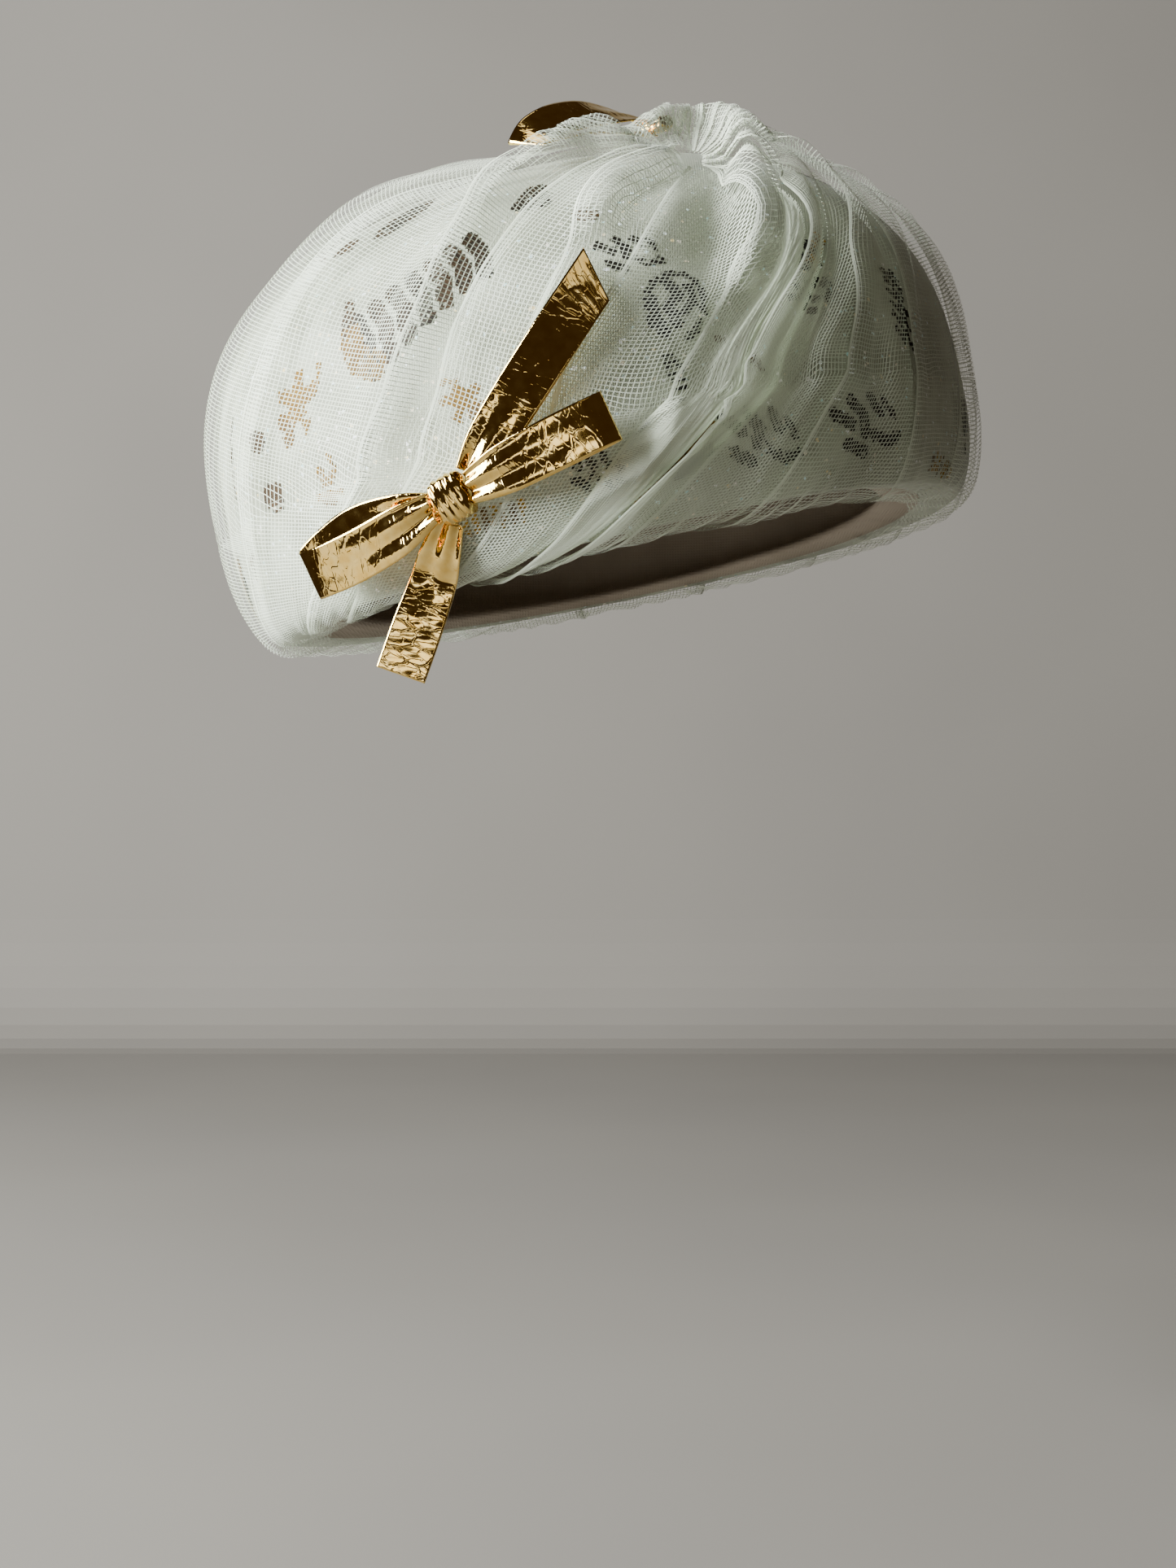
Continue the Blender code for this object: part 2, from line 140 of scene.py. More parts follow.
def crownPoint(azimuth, share):
    c = crown
    high = np.clip(share / c["widestAt"], 0, 1) * np.pi / 2
    low = np.clip((share - c["widestAt"]) / (c["rimAt"] - c["widestAt"]), 0, 1) * np.pi / 2
    under = np.clip((share - c["rimAt"]) / (1 - c["rimAt"]), 0, 1)
    above = share <= c["widestAt"]
    reach = np.where(above, np.sin(high), c["rimReach"] + (1 - c["rimReach"]) * np.cos(low))
    rise = np.clip(np.cos(high), 0, 1) ** (2 / c["shoulder"])
    z = np.where(above, c["widestZ"] + (c["height"] - c["widestZ"]) * rise,
                 c["widestZ"] - (c["widestZ"] + c["rimDrop"]) * np.sin(low))
    width = c["halfWidth"] * reach + (c["openWidth"] - c["rimReach"] * c["halfWidth"]) * under
    depth = c["halfDepth"] * reach + (c["openDepth"] - c["rimReach"] * c["halfDepth"]) * under
    facing = np.clip(np.cos(azimuth - math.radians(c["liftTowards"])), 0, None)
    lowness = np.clip((share - 0.5) / (c["rimAt"] - 0.5), 0, 1)
    z = z + c["rimDrop"] * under ** 2 + c["rimLift"] * facing ** 2 * lowness ** 2
    return np.stack([c["shiftX"] + width * np.cos(azimuth), depth * np.sin(azimuth), z], -1)


def crownNormal(azimuth, share):
    step = 0.004
    below, above = np.clip(share + step, step, 1), np.clip(share - step, 0.001, 1)
    down = crownPoint(azimuth, below) - crownPoint(azimuth, above)
    at = np.clip(share, step, 1)
    around = crownPoint(azimuth + step, at) - crownPoint(azimuth - step, at)
    return unit(np.cross(down, around))


def patternPlace(across, depth):
    share = np.hypot(across, depth)
    azimuth = np.arctan2(depth, across)
    return crownPoint(azimuth, share), crownNormal(azimuth, share)


# The net's lines bend from the gather to the net's edge, as degrees round the rim and a spread
# from 0 to 1
netLines = {
    "gather": (0.18, -0.38), "edge": 0.97, "bend": 0.62, "hemTaper": 0.10, "blend": 3.0,
    "ends": (-180, -135, -118, -100, -75, -40, 0, 90, 180),
    "starts": (-180, -140, -100, -25, 8, 30, 50, 100, 180),
    "loopFoot": (-11.0, -80.0, 107.0), "loopHollow": 11.0, "loopDepth": 0.8,
}
# name, route on the flat pattern, half width, heights at start, thirds and end, lean
pleats = (
    ("left_puff", ((-0.10, -0.10), (-0.26, -0.24), (-0.46, -0.38)), 30, (5, 5, 3, 0), 0.0),
    ("peak", ((0.13, -0.29), (0.06, -0.325), (-0.07, -0.46), (-0.28, -0.60), (-0.52, -0.60)),
     11, (7, 13, 6, 3), -0.3),
    ("peak_panel", ((0.10, -0.28), (0.04, -0.41), (-0.06, -0.56), (-0.20, -0.68)),
     15, (3, 5, 3, 1), 0.0),
    ("left_ridge", ((-0.10, -0.24), (-0.18, -0.33), (-0.36, -0.43), (-0.60, -0.42)),
     12, (2, 4, 4, 3), -0.3),
    ("rolled_tube", ((0.17, -0.37), (0.08, -0.44), (0.03, -0.56), (-0.06, -0.67), (-0.20, -0.76)),
     9, (4, 6, 5, 2), -0.5),
    ("centre", ((0.17, -0.45), (0.08, -0.60), (-0.03, -0.70), (-0.16, -0.79)), 9, (2, 4, 3, 2), 0.3),
    ("arch_inner", ((0.11, -0.30), (0.18, -0.26), (0.24, -0.34), (0.26, -0.55), (0.12, -0.69),
                    (-0.10, -0.82)), 9, (6, 9, 4, 2), -0.2),
    ("arch_outer", ((0.13, -0.26), (0.20, -0.22), (0.31, -0.38), (0.32, -0.58), (0.20, -0.71),
                    (0.00, -0.85)), 11, (7, 10, 4, 2), -0.2),
    ("lit_band", ((0.24, -0.16), (0.35, -0.36), (0.44, -0.46), (0.40, -0.60), (0.30, -0.80)),
     11, (4, 6, 4, 2), -0.3),
    ("right_front", ((0.34, -0.16), (0.46, -0.34), (0.52, -0.52), (0.60, -0.62)),
     11, (3, 5, 5, 3), -0.3),
    ("right_side", ((0.36, -0.06), (0.56, -0.20), (0.72, -0.36)), 12, (3, 4, 4, 2), -0.2),
    ("right_back", ((0.30, 0.04), (0.52, 0.12), (0.78, 0.18)), 13, (3, 4, 4, 2), 0.2),
    ("back_right", ((0.20, 0.10), (0.34, 0.38), (0.44, 0.70)), 13, (3, 5, 5, 2), 0.2),
    ("back_middle", ((0.08, 0.06), (0.04, 0.42), (-0.04, 0.80)), 13, (3, 5, 5, 2), 0.2),
    ("back_left", ((-0.04, 0.00), (-0.26, 0.34), (-0.48, 0.62)), 13, (2, 5, 5, 2), -0.2),
    ("left_back", ((-0.12, -0.08), (-0.46, 0.10), (-0.78, 0.20)), 13, (2, 4, 4, 2), -0.2),
)


def netPlace(degrees, spread):
    wrapped = (np.asarray(degrees, float) + 180) % 360 - 180
    end = netLines["edge"] * np.stack([np.cos(np.radians(wrapped)), np.sin(np.radians(wrapped))], -1)
    gather = np.array(netLines["gather"])
    turned = np.radians(np.interp(wrapped, netLines["ends"], netLines["starts"]))
    reach = netLines["bend"] * np.linalg.norm(end - gather, axis=-1, keepdims=True)
    bend = gather + reach * np.stack([np.cos(turned), np.sin(turned)], -1)
    s = np.asarray(spread, float)[..., None]
    return (1 - s) ** 2 * gather + 2 * s * (1 - s) * bend + s ** 2 * end


def pleatShift(points, normals):
    flat, out = points.reshape(-1, 3), normals.reshape(-1, 3)
    total, leaning = np.zeros(len(flat)), np.zeros((len(flat), 3))
    for name, route, halfWidth, heights, lean in pleats:
        way = smoothRoute(route, 60)
        middle, up = patternPlace(way[:, 0], way[:, 1])
        sideways = unit(np.cross(up, np.gradient(middle, axis=0)))
        rises = np.interp(np.linspace(0, 1, 60), np.linspace(0, 1, len(heights)), heights)
        near = np.where(np.linalg.norm(flat - middle.mean(axis=0), axis=1) < 140)[0]
        apart = np.linalg.norm(flat[near, None] - middle[None], axis=2)
        nearest = apart.argmin(axis=1)
        across = apart[np.arange(len(near)), nearest] / halfWidth
        height = rises[nearest] * np.clip(1 - across ** 2, 0, 1) ** 2
        total[near] += height ** netLines["blend"]
        leaning[near] += sideways[nearest] * (lean * height)[:, None]
    shift = out * (total ** (1 / netLines["blend"]))[:, None] + leaning
    return shift.reshape(points.shape)


# Where the gathered net stands up, in the worn frame: middle, radius and height
netSwells = (
    ((-11.0, -77.0, 107.0), 7.0, 2.0),
    ((9.0, -64.0, 113.0), 7.0, 4.0),
    ((15.0, -85.5, 98.5), 3.5, -3.0),
)
# Rolled edges near the gather and the hollow between them: route, widths to its two sides, height
netRidges = (
    (((-26.3, -98.7, 92.5), (-21.4, -91.8, 100.2), (-16.4, -82.2, 107.1), (-10.8, -77.5, 110.5),
      (-5.7, -79.1, 108.8), (-1.7, -84.0, 103.0), (7.2, -89.4, 98.8)), 14.0, 4.0, 3.0),
    (((2.8, -82.0, 103.8), (6.4, -74.1, 109.2), (11.8, -68.7, 113.0), (21.2, -65.2, 114.9),
      (27.5, -75.9, 108.5), (28.3, -87.9, 97.8), (28.4, -96.2, 87.1), (28.2, -105.3, 72.9),
      (26.2, -111.0, 57.0)), 3.0, 8.0, 5.0),
    (((14.4, -87.8, 96.3), (8.1, -92.4, 93.2), (2.4, -96.7, 90.0), (-2.8, -102.0, 85.7),
      (-5.9, -107.5, 79.4), (-8.3, -112.7, 70.6)), 9.0, 2.5, 4.2),
    (((17.5, -90.0, 92.0), (20.5, -97.0, 83.0), (22.4, -104.7, 72.7), (21.5, -111.6, 58.9),
      (14.0, -116.0, 46.0)), 10.0, 8.0, -2.2),
)
fieldSize = {"round": 480, "along": 150, "first": 0.012, "easing": 22}


def netField():
    degrees = -180 + 360 * np.arange(fieldSize["round"]) / fieldSize["round"]
    spreads = np.linspace(fieldSize["first"], 1, fieldSize["along"])
    theta, spread = np.meshgrid(degrees, spreads, indexing="ij")
    place = netPlace(theta, spread)
    points, normals = patternPlace(place[..., 0], place[..., 1])
    toEdge = netLines["edge"] - np.hypot(place[..., 0], place[..., 1])
    free = np.clip(toEdge / netLines["hemTaper"], 0, 1)
    shift = pleatShift(points, normals) * free[..., None]
    toLoop = np.linalg.norm(points - np.array(netLines["loopFoot"]), axis=-1)
    shift *= 1 - netLines["loopDepth"] * np.exp(-(toLoop / netLines["loopHollow"]) ** 2)[..., None]
    world = toWorld(points) * 1000
    for place, radius, height in netSwells:
        toSwell = np.linalg.norm(world - np.array(place), axis=-1) / radius
        shift = shift + normals * (height * np.exp(-toSwell ** 2))[..., None]
    for step in range(fieldSize["easing"]):
        shift = (np.roll(shift, 1, 0) + 2 * shift + np.roll(shift, -1, 0)) / 4
        ends = np.concatenate([shift[:, :1], shift, shift[:, -1:]], axis=1)
        shift = (ends[:, :-2] + 2 * shift + ends[:, 2:]) / 4
    base = points + shift
    for route, before, after, height in netRidges:
        way = smoothRoute(route, 80)
        onward = unit(np.gradient(way, axis=0))
        world = (toWorld(base) * 1000).reshape(-1, 3)
        near = np.where(np.linalg.norm(world - way.mean(axis=0), axis=1) < 45)[0]
        apart = world[near, None] - way[None]
        nearest = np.linalg.norm(apart, axis=2).argmin(axis=1)
        offset = apart[np.arange(len(near)), nearest]
        out = (normals.reshape(-1, 3)[near] @ tiltMatrix.T)
        side = (np.cross(out, onward[nearest]) * offset).sum(-1)
        reach = np.linalg.norm(offset, axis=1) / np.where(side > 0, after, before)
        ends = ramp(nearest, 0, 12) * ramp(79 - nearest, 0, 16)
        rise = height * ends * np.clip(1 - reach ** 2, 0, 1) ** 1.5
        flat = base.reshape(-1, 3)
        flat[near] += normals.reshape(-1, 3)[near] * rise[:, None]
        base = flat.reshape(base.shape)
    around = np.roll(base, -1, 0) - np.roll(base, 1, 0)
    along = np.gradient(base, axis=1)
    facing = unit(np.cross(along, around))
    facing *= np.sign((facing * normals).sum(-1, keepdims=True))
    for step in range(3):
        facing = unit(np.roll(facing, 1, 0) + 2 * facing + np.roll(facing, -1, 0))
    return base, facing


basePoints, baseNormals = netField()
print("net field ready")


def sampleField(field, degrees, spread):
    x = ((np.asarray(degrees, float) + 180) / 360 * fieldSize["round"]) % fieldSize["round"]
    first = fieldSize["first"]
    y = (np.asarray(spread, float) - first) / (1 - first) * (fieldSize["along"] - 1)
    y = np.clip(y, 0, fieldSize["along"] - 1)
    i, j = x.astype(int), np.minimum(y.astype(int), fieldSize["along"] - 2)
    fx, fy = (x - i)[..., None], (y - j)[..., None]
    i, after = i % fieldSize["round"], (i + 1) % fieldSize["round"]
    near = field[i, j] * (1 - fy) + field[i, j + 1] * fy
    far = field[after, j] * (1 - fy) + field[after, j + 1] * fy
    return near * (1 - fx) + far * fx


# Ribbons: middle x, y, z, the way across, and width, in millimetres in the worn frame
ribbonRoutes = {
    "front_bow_loop_right": (
        (-41.1, -117.0, 9.5, -0.42, -0.05, 0.91, 8.0),
        (-32.7, -121.6, 13.4, -0.42, -0.04, 0.91, 12.0),
        (-21.1, -124.8, 19.0, -0.42, -0.03, 0.91, 13.0),
        (-10.2, -126.1, 24.2, -0.42, -0.02, 0.91, 13.0),
        (-5.8, -124.4, 26.4, -0.42, -0.02, 0.91, 13.0),
        (-9.2, -122.2, 24.8, -0.42, -0.02, 0.91, 13.0),
        (-20.7, -121.0, 19.3, -0.42, -0.03, 0.91, 13.0),
        (-32.1, -118.3, 13.9, -0.42, -0.04, 0.91, 12.0),
        (-40.4, -114.5, 9.9, -0.42, -0.05, 0.91, 8.0),
    ),
    "front_bow_loop_left": (
        (-50.6, -112.8, 5.0, 0.41, 0.07, -0.91, 8.0),
        (-58.9, -110.2, -0.4, 0.41, 0.10, -0.91, 12.0),
        (-70.2, -103.4, -6.0, 0.41, 0.13, -0.90, 13.0),
        (-79.9, -95.8, -9.4, 0.41, 0.14, -0.90, 13.0),
        (-83.6, -89.7, -9.6, 0.41, 0.14, -0.90, 13.0),
        (-79.6, -91.7, -5.0, 0.41, 0.07, -0.91, 13.0),
        (-70.2, -100.1, 0.6, 0.41, 0.03, -0.91, 13.0),
        (-58.7, -107.2, 3.6, 0.41, 0.05, -0.91, 12.0),
        (-49.7, -110.4, 5.5, 0.41, 0.07, -0.91, 8.0),
    ),
    "front_bow_tail_up": (
        (-41.0, -112.8, 13.3, -0.82, 0.17, 0.54, 8.0),
        (-36.3, -116.2, 21.0, -0.82, 0.18, 0.54, 12.0),
        (-27.9, -119.9, 33.7, -0.83, 0.13, 0.55, 13.0),
        (-18.7, -121.4, 47.7, -0.83, 0.12, 0.55, 13.0),
        (-9.4, -119.2, 62.1, -0.82, 0.15, 0.55, 13.0),
    ),
    "front_bow_tail_down": (
        (-46.4, -108.4, 1.9, 0.92, -0.23, -0.31, 8.0),
        (-49.0, -104.7, -6.0, 0.93, -0.18, -0.31, 11.0),
        (-50.6, -101.2, -11.6, 0.94, -0.04, -0.33, 12.0),
        (-54.9, -101.2, -23.9, 0.94, 0.00, -0.33, 13.0),
        (-59.2, -101.2, -36.1, 0.94, 0.00, -0.33, 13.0),
    ),
    "crown_loop": (
        (5.1, -42.2, 121.1, 0.73, -0.67, -0.12, 8.0),
        (-0.5, -48.4, 121.3, 0.72, -0.58, -0.39, 10.0),
        (-8.6, -57.1, 119.7, 0.67, -0.42, -0.61, 12.0),
        (-17.3, -66.0, 116.1, 0.69, -0.36, -0.63, 12.5),
        (-24.1, -72.6, 111.3, 0.74, -0.45, -0.50, 13.0),
        (-27.6, -75.6, 106.5, 0.76, -0.60, -0.27, 13.0),
        (-27.2, -75.0, 106.3, 0.74, -0.66, -0.15, 13.0),
        (-22.8, -70.6, 108.5, 0.73, -0.66, -0.14, 12.5),
        (-14.5, -62.2, 112.5, 0.73, -0.67, -0.13, 12.0),
        (-3.8, -51.0, 115.8, 0.73, -0.67, -0.13, 10.0),
        (5.2, -41.6, 118.3, 0.73, -0.67, -0.12, 8.0),
    ),
}
ribbonSlants = {"front_bow_tail_up": 8.0}  # how far one corner of a cut end stands out
pressedBy = np.concatenate([smoothRoute([row[:3] for row in rows], 60) for rows in ribbonRoutes.values()])


def underRibbon(points):
    world = toWorld(points) * 1000
    flat = world.reshape(-1, 3)
    apart = np.full(len(flat), 99.0)
    for part in np.array_split(np.arange(len(flat)), max(1, len(flat) // 20000)):
        apart[part] = np.linalg.norm(flat[part, None] - pressedBy[None], axis=2).min(axis=1)
    return (1 - ramp(apart, 10, 17)).reshape(world.shape[:-1])


pressField = underRibbon(basePoints)[..., None]

# Folded edges of the net: degrees round the rim at even steps along each line from gather to rim,
# and how far each edge stands over the panel before it
netFolds = (
    ("back_a", (-242, -242, -242, -242, -242), (0.6, 1.2, 1.2, 1.0, 0.4)),
    ("back_b", (-222, -224, -222, -221, -221), (0.6, 1.2, 1.2, 1.0, 0.4)),
    ("left_soft", (-210, -206, -200, -195, -192), (0.8, 2.2, 2.4, 1.8, 0.6)),
    ("left_ridge", (-200, -184, -166, -166, -168), (1.0, 3.0, 3.6, 2.6, 0.8)),
    ("peak_edge", (-190, -170, -150, -142, -139.5, -144, -149, -153, -156), (1.5, 4.4, 4.6, 3.2, 0.9)),
    ("peak_fine", (-164, -152, -141, -135.5, -133.5, -136.5, -139.5, -142, -144.5),
     (1.0, 2.0, 2.4, 1.8, 0.5)),
    ("tube", (-140, -128, -127, -130, -133), (1.5, 3.6, 4.0, 2.8, 0.8)),
    ("centre", (-122, -121, -123.5, -125, -127), (1.0, 1.6, 1.8, 1.4, 0.5)),
    ("arch_a", (-106, -106, -106.5, -111, -115, -115.5, -116, -116.5, -118), (2.0, 5.8, 6.8, 4.6, 1.0)),
    ("arch_b", (-88, -91, -93, -92.5, -93.5, -101, -106.5, -108, -109.5), (2.0, 5.4, 6.2, 4.2, 1.0)),
    ("inner_s", (-74, -76, -78, -78, -79, -86, -94, -97, -98), (1.0, 1.6, 2.0, 1.6, 0.5)),
    ("lit_band", (-56, -57, -58, -62, -65, -67, -74, -77, -79), (2.0, 5.4, 6.2, 4.2, 1.0)),
    ("right_a", (-40, -44, -51, -52, -50), (1.4, 3.0, 3.4, 2.6, 0.8)),
    ("right_b", (-15, -18, -27, -34, -35), (1.0, 2.4, 2.8, 2.2, 0.7)),
    ("right_c", (0, -2, -8, -15, -17), (0.8, 1.4, 1.4, 1.0, 0.4)),
    ("right_d", (18, 16, 12, 8, 6), (0.6, 1.2, 1.2, 1.0, 0.4)),
    ("right_e", (40, 38, 34, 30, 28), (0.6, 1.2, 1.2, 1.0, 0.4)),
    ("back_c", (60, 58, 54, 51, 50), (0.6, 1.2, 1.2, 1.0, 0.4)),
    ("back_d", (78, 78, 76, 74, 73), (0.6, 1.2, 1.2, 1.0, 0.4)),
    ("back_e", (98, 98, 97, 96, 96), (0.6, 1.2, 1.2, 1.0, 0.4)),
)
netSettings = {
    "pitch": 1.2, "thread": 0.26, "threadStep": 3.0, "edgeThreads": (0.12, 0.3, 0.6),
    "rows": 100, "firstSpread": 0.02, "flange": 2.6, "tuck": 2.6, "lift": 0.5,
    "edgeRound": 0.55, "edgeWidth": 1.2, "firmFrom": 1.5, "pressed": 0.85, "underSink": 0.85,
    "farSink": 0.35, "ripple": 0.12, "rippleRate": 0.95, "hemWave": 0.5, "hemRate": 1.15,
}
panelCount = len(netFolds)


def alongFold(values, spread):
    fine = np.interp(np.linspace(0, 1, 61), np.linspace(0, 1, len(values)), values)
    for step in range(12 if len(values) == 5 else 4):
        inner = (fine[:-2] + 2 * fine[1:-1] + fine[2:]) / 4
        fine = np.concatenate([fine[:1], inner, fine[-1:]])
    return np.interp(spread, np.linspace(0, 1, 61), fine)


def foldAngle(panel, spread):
    turns, index = divmod(panel, panelCount)
    return alongFold(netFolds[index][1], spread) + 360 * turns


def panelWidth(panel, spread):
    left, right = foldAngle(panel, spread), foldAngle(panel + 1, spread)
    steps = [sampleField(basePoints, left + (right - left) * k / 6, spread) for k in range(7)]
    return sum(np.linalg.norm(b - a, axis=-1) for a, b in zip(steps, steps[1:]))


widthSpreads = np.linspace(netSettings["firstSpread"], 1, 80)
panelWidths = [panelWidth(panel, widthSpreads) for panel in range(panelCount)]


def netPoint(panel, across, spread, under=None):
    width = np.interp(spread, widthSpreads, panelWidths[panel])
    share = across / width
    left, right = foldAngle(panel, spread), foldAngle(panel + 1, spread)
    degrees = left + (right - left) * share
    base, facing = sampleField(basePoints, degrees, spread), sampleField(baseNormals, degrees, spread)
    pressed = sampleField(pressField, degrees, spread)[..., 0]
    s = netSettings
    fold = alongFold(netFolds[panel][2], spread) * (1 - s["pressed"] * pressed)
    firm = np.clip(fold / s["firmFrom"], 0, 1)
    lift = fold * np.clip(1 - share, 0, 1) ** 1.5
    lift -= s["edgeRound"] * firm * np.clip(1 - across / s["edgeWidth"], 0, 1) ** 2
    lift -= s["farSink"] * ramp(share, 0.8, 1.0)
    window = np.clip(share * 4, 0, 1) * np.clip((1.1 - share) * 4, 0, 1) * (1 - pressed)
    wave = np.sin(across * s["rippleRate"] + 2.2 * np.sin(spread * 7 + panel) + panel * 1.7)
    lift += s["ripple"] * window * wave * np.clip(width / 8, 0.2, 1)
    hem = np.sin(degrees * s["hemRate"] + 2.4 * np.sin(degrees * 0.17))
    lift += s["hemWave"] * ramp(spread, 0.78, 0.93) * hem
    if under is not None:
        lift -= under * s["underSink"] * firm
    return base + facing * (s["lift"] + lift)[..., None], facing


def spreadRows(rows):
    return netSettings["firstSpread"] + (1 - netSettings["firstSpread"]) * np.linspace(0, 1, rows) ** 1.1


# The folded net as one thin sheet, panel by panel
def netSheet():
    spreads = spreadRows(netSettings["rows"])
    verts, faces, uv = [], [], []
    first = 0
    for panel in range(panelCount):
        width = np.interp(spreads, widthSpreads, panelWidths[panel])
        inner = int(np.clip(width.max() / 2.4, 5, 15))
        flange = np.minimum(netSettings["flange"], width * 0.6)
        tuck = np.minimum(netSettings["tuck"], width * 0.6)
        columns, unders = [], []
        for part in (1.0, 0.5, 0.2):
            columns.append(flange * part)
            unders.append(np.full_like(flange, ramp(part, 0, 0.5)))
        for part in np.linspace(0, 1, inner) ** 1.3:
            columns.append(width * part)
            unders.append(np.zeros_like(flange))
        for part in (0.5, 1.0):
            columns.append(width + tuck * part)
            unders.append(np.zeros_like(flange))
        across, under = np.stack(columns, 1), np.stack(unders, 1)
        points, facing = netPoint(panel, across, np.repeat(spreads[:, None], across.shape[1], 1), under)
        verts.append(points.reshape(-1, 3))
        faces += gridFaces(len(spreads), across.shape[1], first)
        u = (panel + np.linspace(0.02, 0.98, across.shape[1])[None].repeat(len(spreads), 0)) / panelCount
        v = np.linspace(0.01, 0.99, len(spreads))[:, None].repeat(across.shape[1], 1)
        uv.append(np.stack([u, v], -1).reshape(-1, 2))
        first += across.size
    obj = newObject("net_folds", toWorld(np.concatenate(verts)), faces)
    addMap(obj, np.concatenate(uv))
    obj.data.shade_smooth()
    return obj


# A node tree that repeats something: its inputs, and its end in Realize Instances and Set Material
def addSockets(tree, sockets):
    for name, way, kind in sockets:
        tree.interface.new_socket(name, in_out=way, socket_type="NodeSocket" + kind)


def repeatTree(name, sizeName):
    tree = bpy.data.node_groups.new(name, "GeometryNodeTree")
    addSockets(tree, (("Geometry", "INPUT", "Geometry"), (sizeName, "INPUT", "Float"),
                      ("Material", "INPUT", "Material"), ("Geometry", "OUTPUT", "Geometry")))
    add, link = tree.nodes.new, tree.links.new
    start, end = add("NodeGroupInput"), add("NodeGroupOutput")
    realize, paint = add("GeometryNodeRealizeInstances"), add("GeometryNodeSetMaterial")
    link(realize.outputs["Geometry"], paint.inputs["Geometry"])
    link(start.outputs["Material"], paint.inputs["Material"])
    link(paint.outputs["Geometry"], end.inputs["Geometry"])
    return tree, start, realize


def readVector(tree, name):
    node = tree.nodes.new("GeometryNodeInputNamedAttribute")
    node.data_type = "FLOAT_VECTOR"
    node.inputs["Name"].default_value = name
    return node.outputs["Attribute"]


# Threads: polylines that a node tree turns into flat yarn
def threadTree():
    tree, start, realize = repeatTree("netThread", "Thread Width")
    add, link = tree.nodes.new, tree.links.new
    toCurve = add("GeometryNodeMeshToCurve")
    turn = add("GeometryNodeSetCurveNormal")
    turn.mode = "FREE"
    profile, sweep = add("GeometryNodeCurvePrimitiveLine"), add("GeometryNodeCurveToMesh")
    link(start.outputs["Geometry"], toCurve.inputs["Mesh"])
    link(toCurve.outputs["Curve"], turn.inputs["Curve"])
    link(readVector(tree, "facing"), turn.inputs["Normal"])
    for side, socket in ((-0.5, "Start"), (0.5, "End")):
        half, edge = add("ShaderNodeMath"), add("ShaderNodeCombineXYZ")
        half.operation = "MULTIPLY"
        half.inputs[1].default_value = side
        link(start.outputs["Thread Width"], half.inputs[0])
        link(half.outputs[0], edge.inputs["Y"])
        link(edge.outputs[0], profile.inputs[socket])
    link(turn.outputs["Curve"], sweep.inputs["Curve"])
    link(profile.outputs["Curve"], sweep.inputs["Profile Curve"])
    link(sweep.outputs["Mesh"], realize.inputs["Geometry"])
    return tree


threadNodes = threadTree()


def setInput(modifier, name, value):
    for item in modifier.node_group.interface.items_tree:
        if item.item_type == "SOCKET" and item.in_out == "INPUT" and item.name == name:
            modifier[item.identifier] = value


def threadsFrom(name, lines, width, material):
    points = np.concatenate([line[0] for line in lines])
    facing = np.concatenate([line[1] for line in lines]) @ tiltMatrix.T
    edges, first = [], 0
    for line in lines:
        index = np.arange(first, first + len(line[0]) - 1)
        edges.append(np.stack([index, index + 1], 1))
        first += len(line[0])
    obj = newObject(name, toWorld(points), (), np.concatenate(edges))
    attribute = obj.data.attributes.new("facing", "FLOAT_VECTOR", "POINT")
    attribute.data.foreach_set("vector", facing.astype(np.float32).ravel())
    modifier = obj.modifiers.new("yarn", "NODES")
    modifier.node_group = threadNodes
    setInput(modifier, "Thread Width", width * 0.001)
    setInput(modifier, "Material", material)
    applyModifiers(obj)
    count = len(obj.data.vertices)
    place = np.empty(count * 3)
    obj.data.vertices.foreach_get("co", place)
    place = place.reshape(-1, 3)
    low, high = place.min(0), place.max(0)
    shares = (place - low) / (high - low)
    addMap(obj, np.stack([shares[:, 0], shares[:, 2]], 1))
    obj.data.shade_smooth()
    return obj


def foldedThreads():
    lengthwise, crosswise = [], []
    pitch, step = netSettings["pitch"], netSettings["threadStep"]
    flangeStops = np.array([1.0, 0.45, 0.15])
    for panel in range(panelCount):
        widths = panelWidths[panel]
        middle = netPoint(panel, widths * 0.5, widthSpreads)[0]
        travelled = np.concatenate([[0], np.cumsum(np.linalg.norm(np.diff(middle, axis=0), axis=1))])
        stops = np.linspace(0, travelled[-1], int(travelled[-1] / step))
        spreads = np.interp(stops, travelled, widthSpreads)
        width = np.interp(spreads, widthSpreads, widths)
        limit = width + np.minimum(netSettings["tuck"], width * 0.6)
        for across in np.concatenate([netSettings["edgeThreads"], np.arange(0, limit.max(), pitch)]):
            shown = np.where(across <= limit)[0]
            for run in np.split(shown, np.where(np.diff(shown) > 1)[0] + 1):
                if len(run) > 2:
                    lengthwise.append(netPoint(panel, np.full(len(run), across), spreads[run]))
        stops = np.arange(pitch, travelled[-1], pitch)
        for spread in np.interp(stops, travelled, widthSpreads):
            width = float(np.interp(spread, widthSpreads, widths))
            flange, tuck = min(netSettings["flange"], width * 0.6), min(netSettings["tuck"], width * 0.6)
            back = flangeStops * flange
            ahead = np.linspace(0, width + tuck, max(3, int((width + tuck) / 2.6)))
            across = np.concatenate([back, ahead])
            under = np.concatenate([ramp(flangeStops, 0, 0.5), np.zeros(len(ahead))])
            crosswise.append(netPoint(panel, across, np.full(len(across), spread), under))
    return lengthwise, crosswise


# Material helpers
def newMaterial(name):
    material = bpy.data.materials.new(name)
    material.use_nodes = True
    tree = material.node_tree
    return material, tree, tree.nodes["Principled BSDF"]


def setSockets(shader, values):
    for name, value in values.items():
        shader.inputs[name].default_value = value


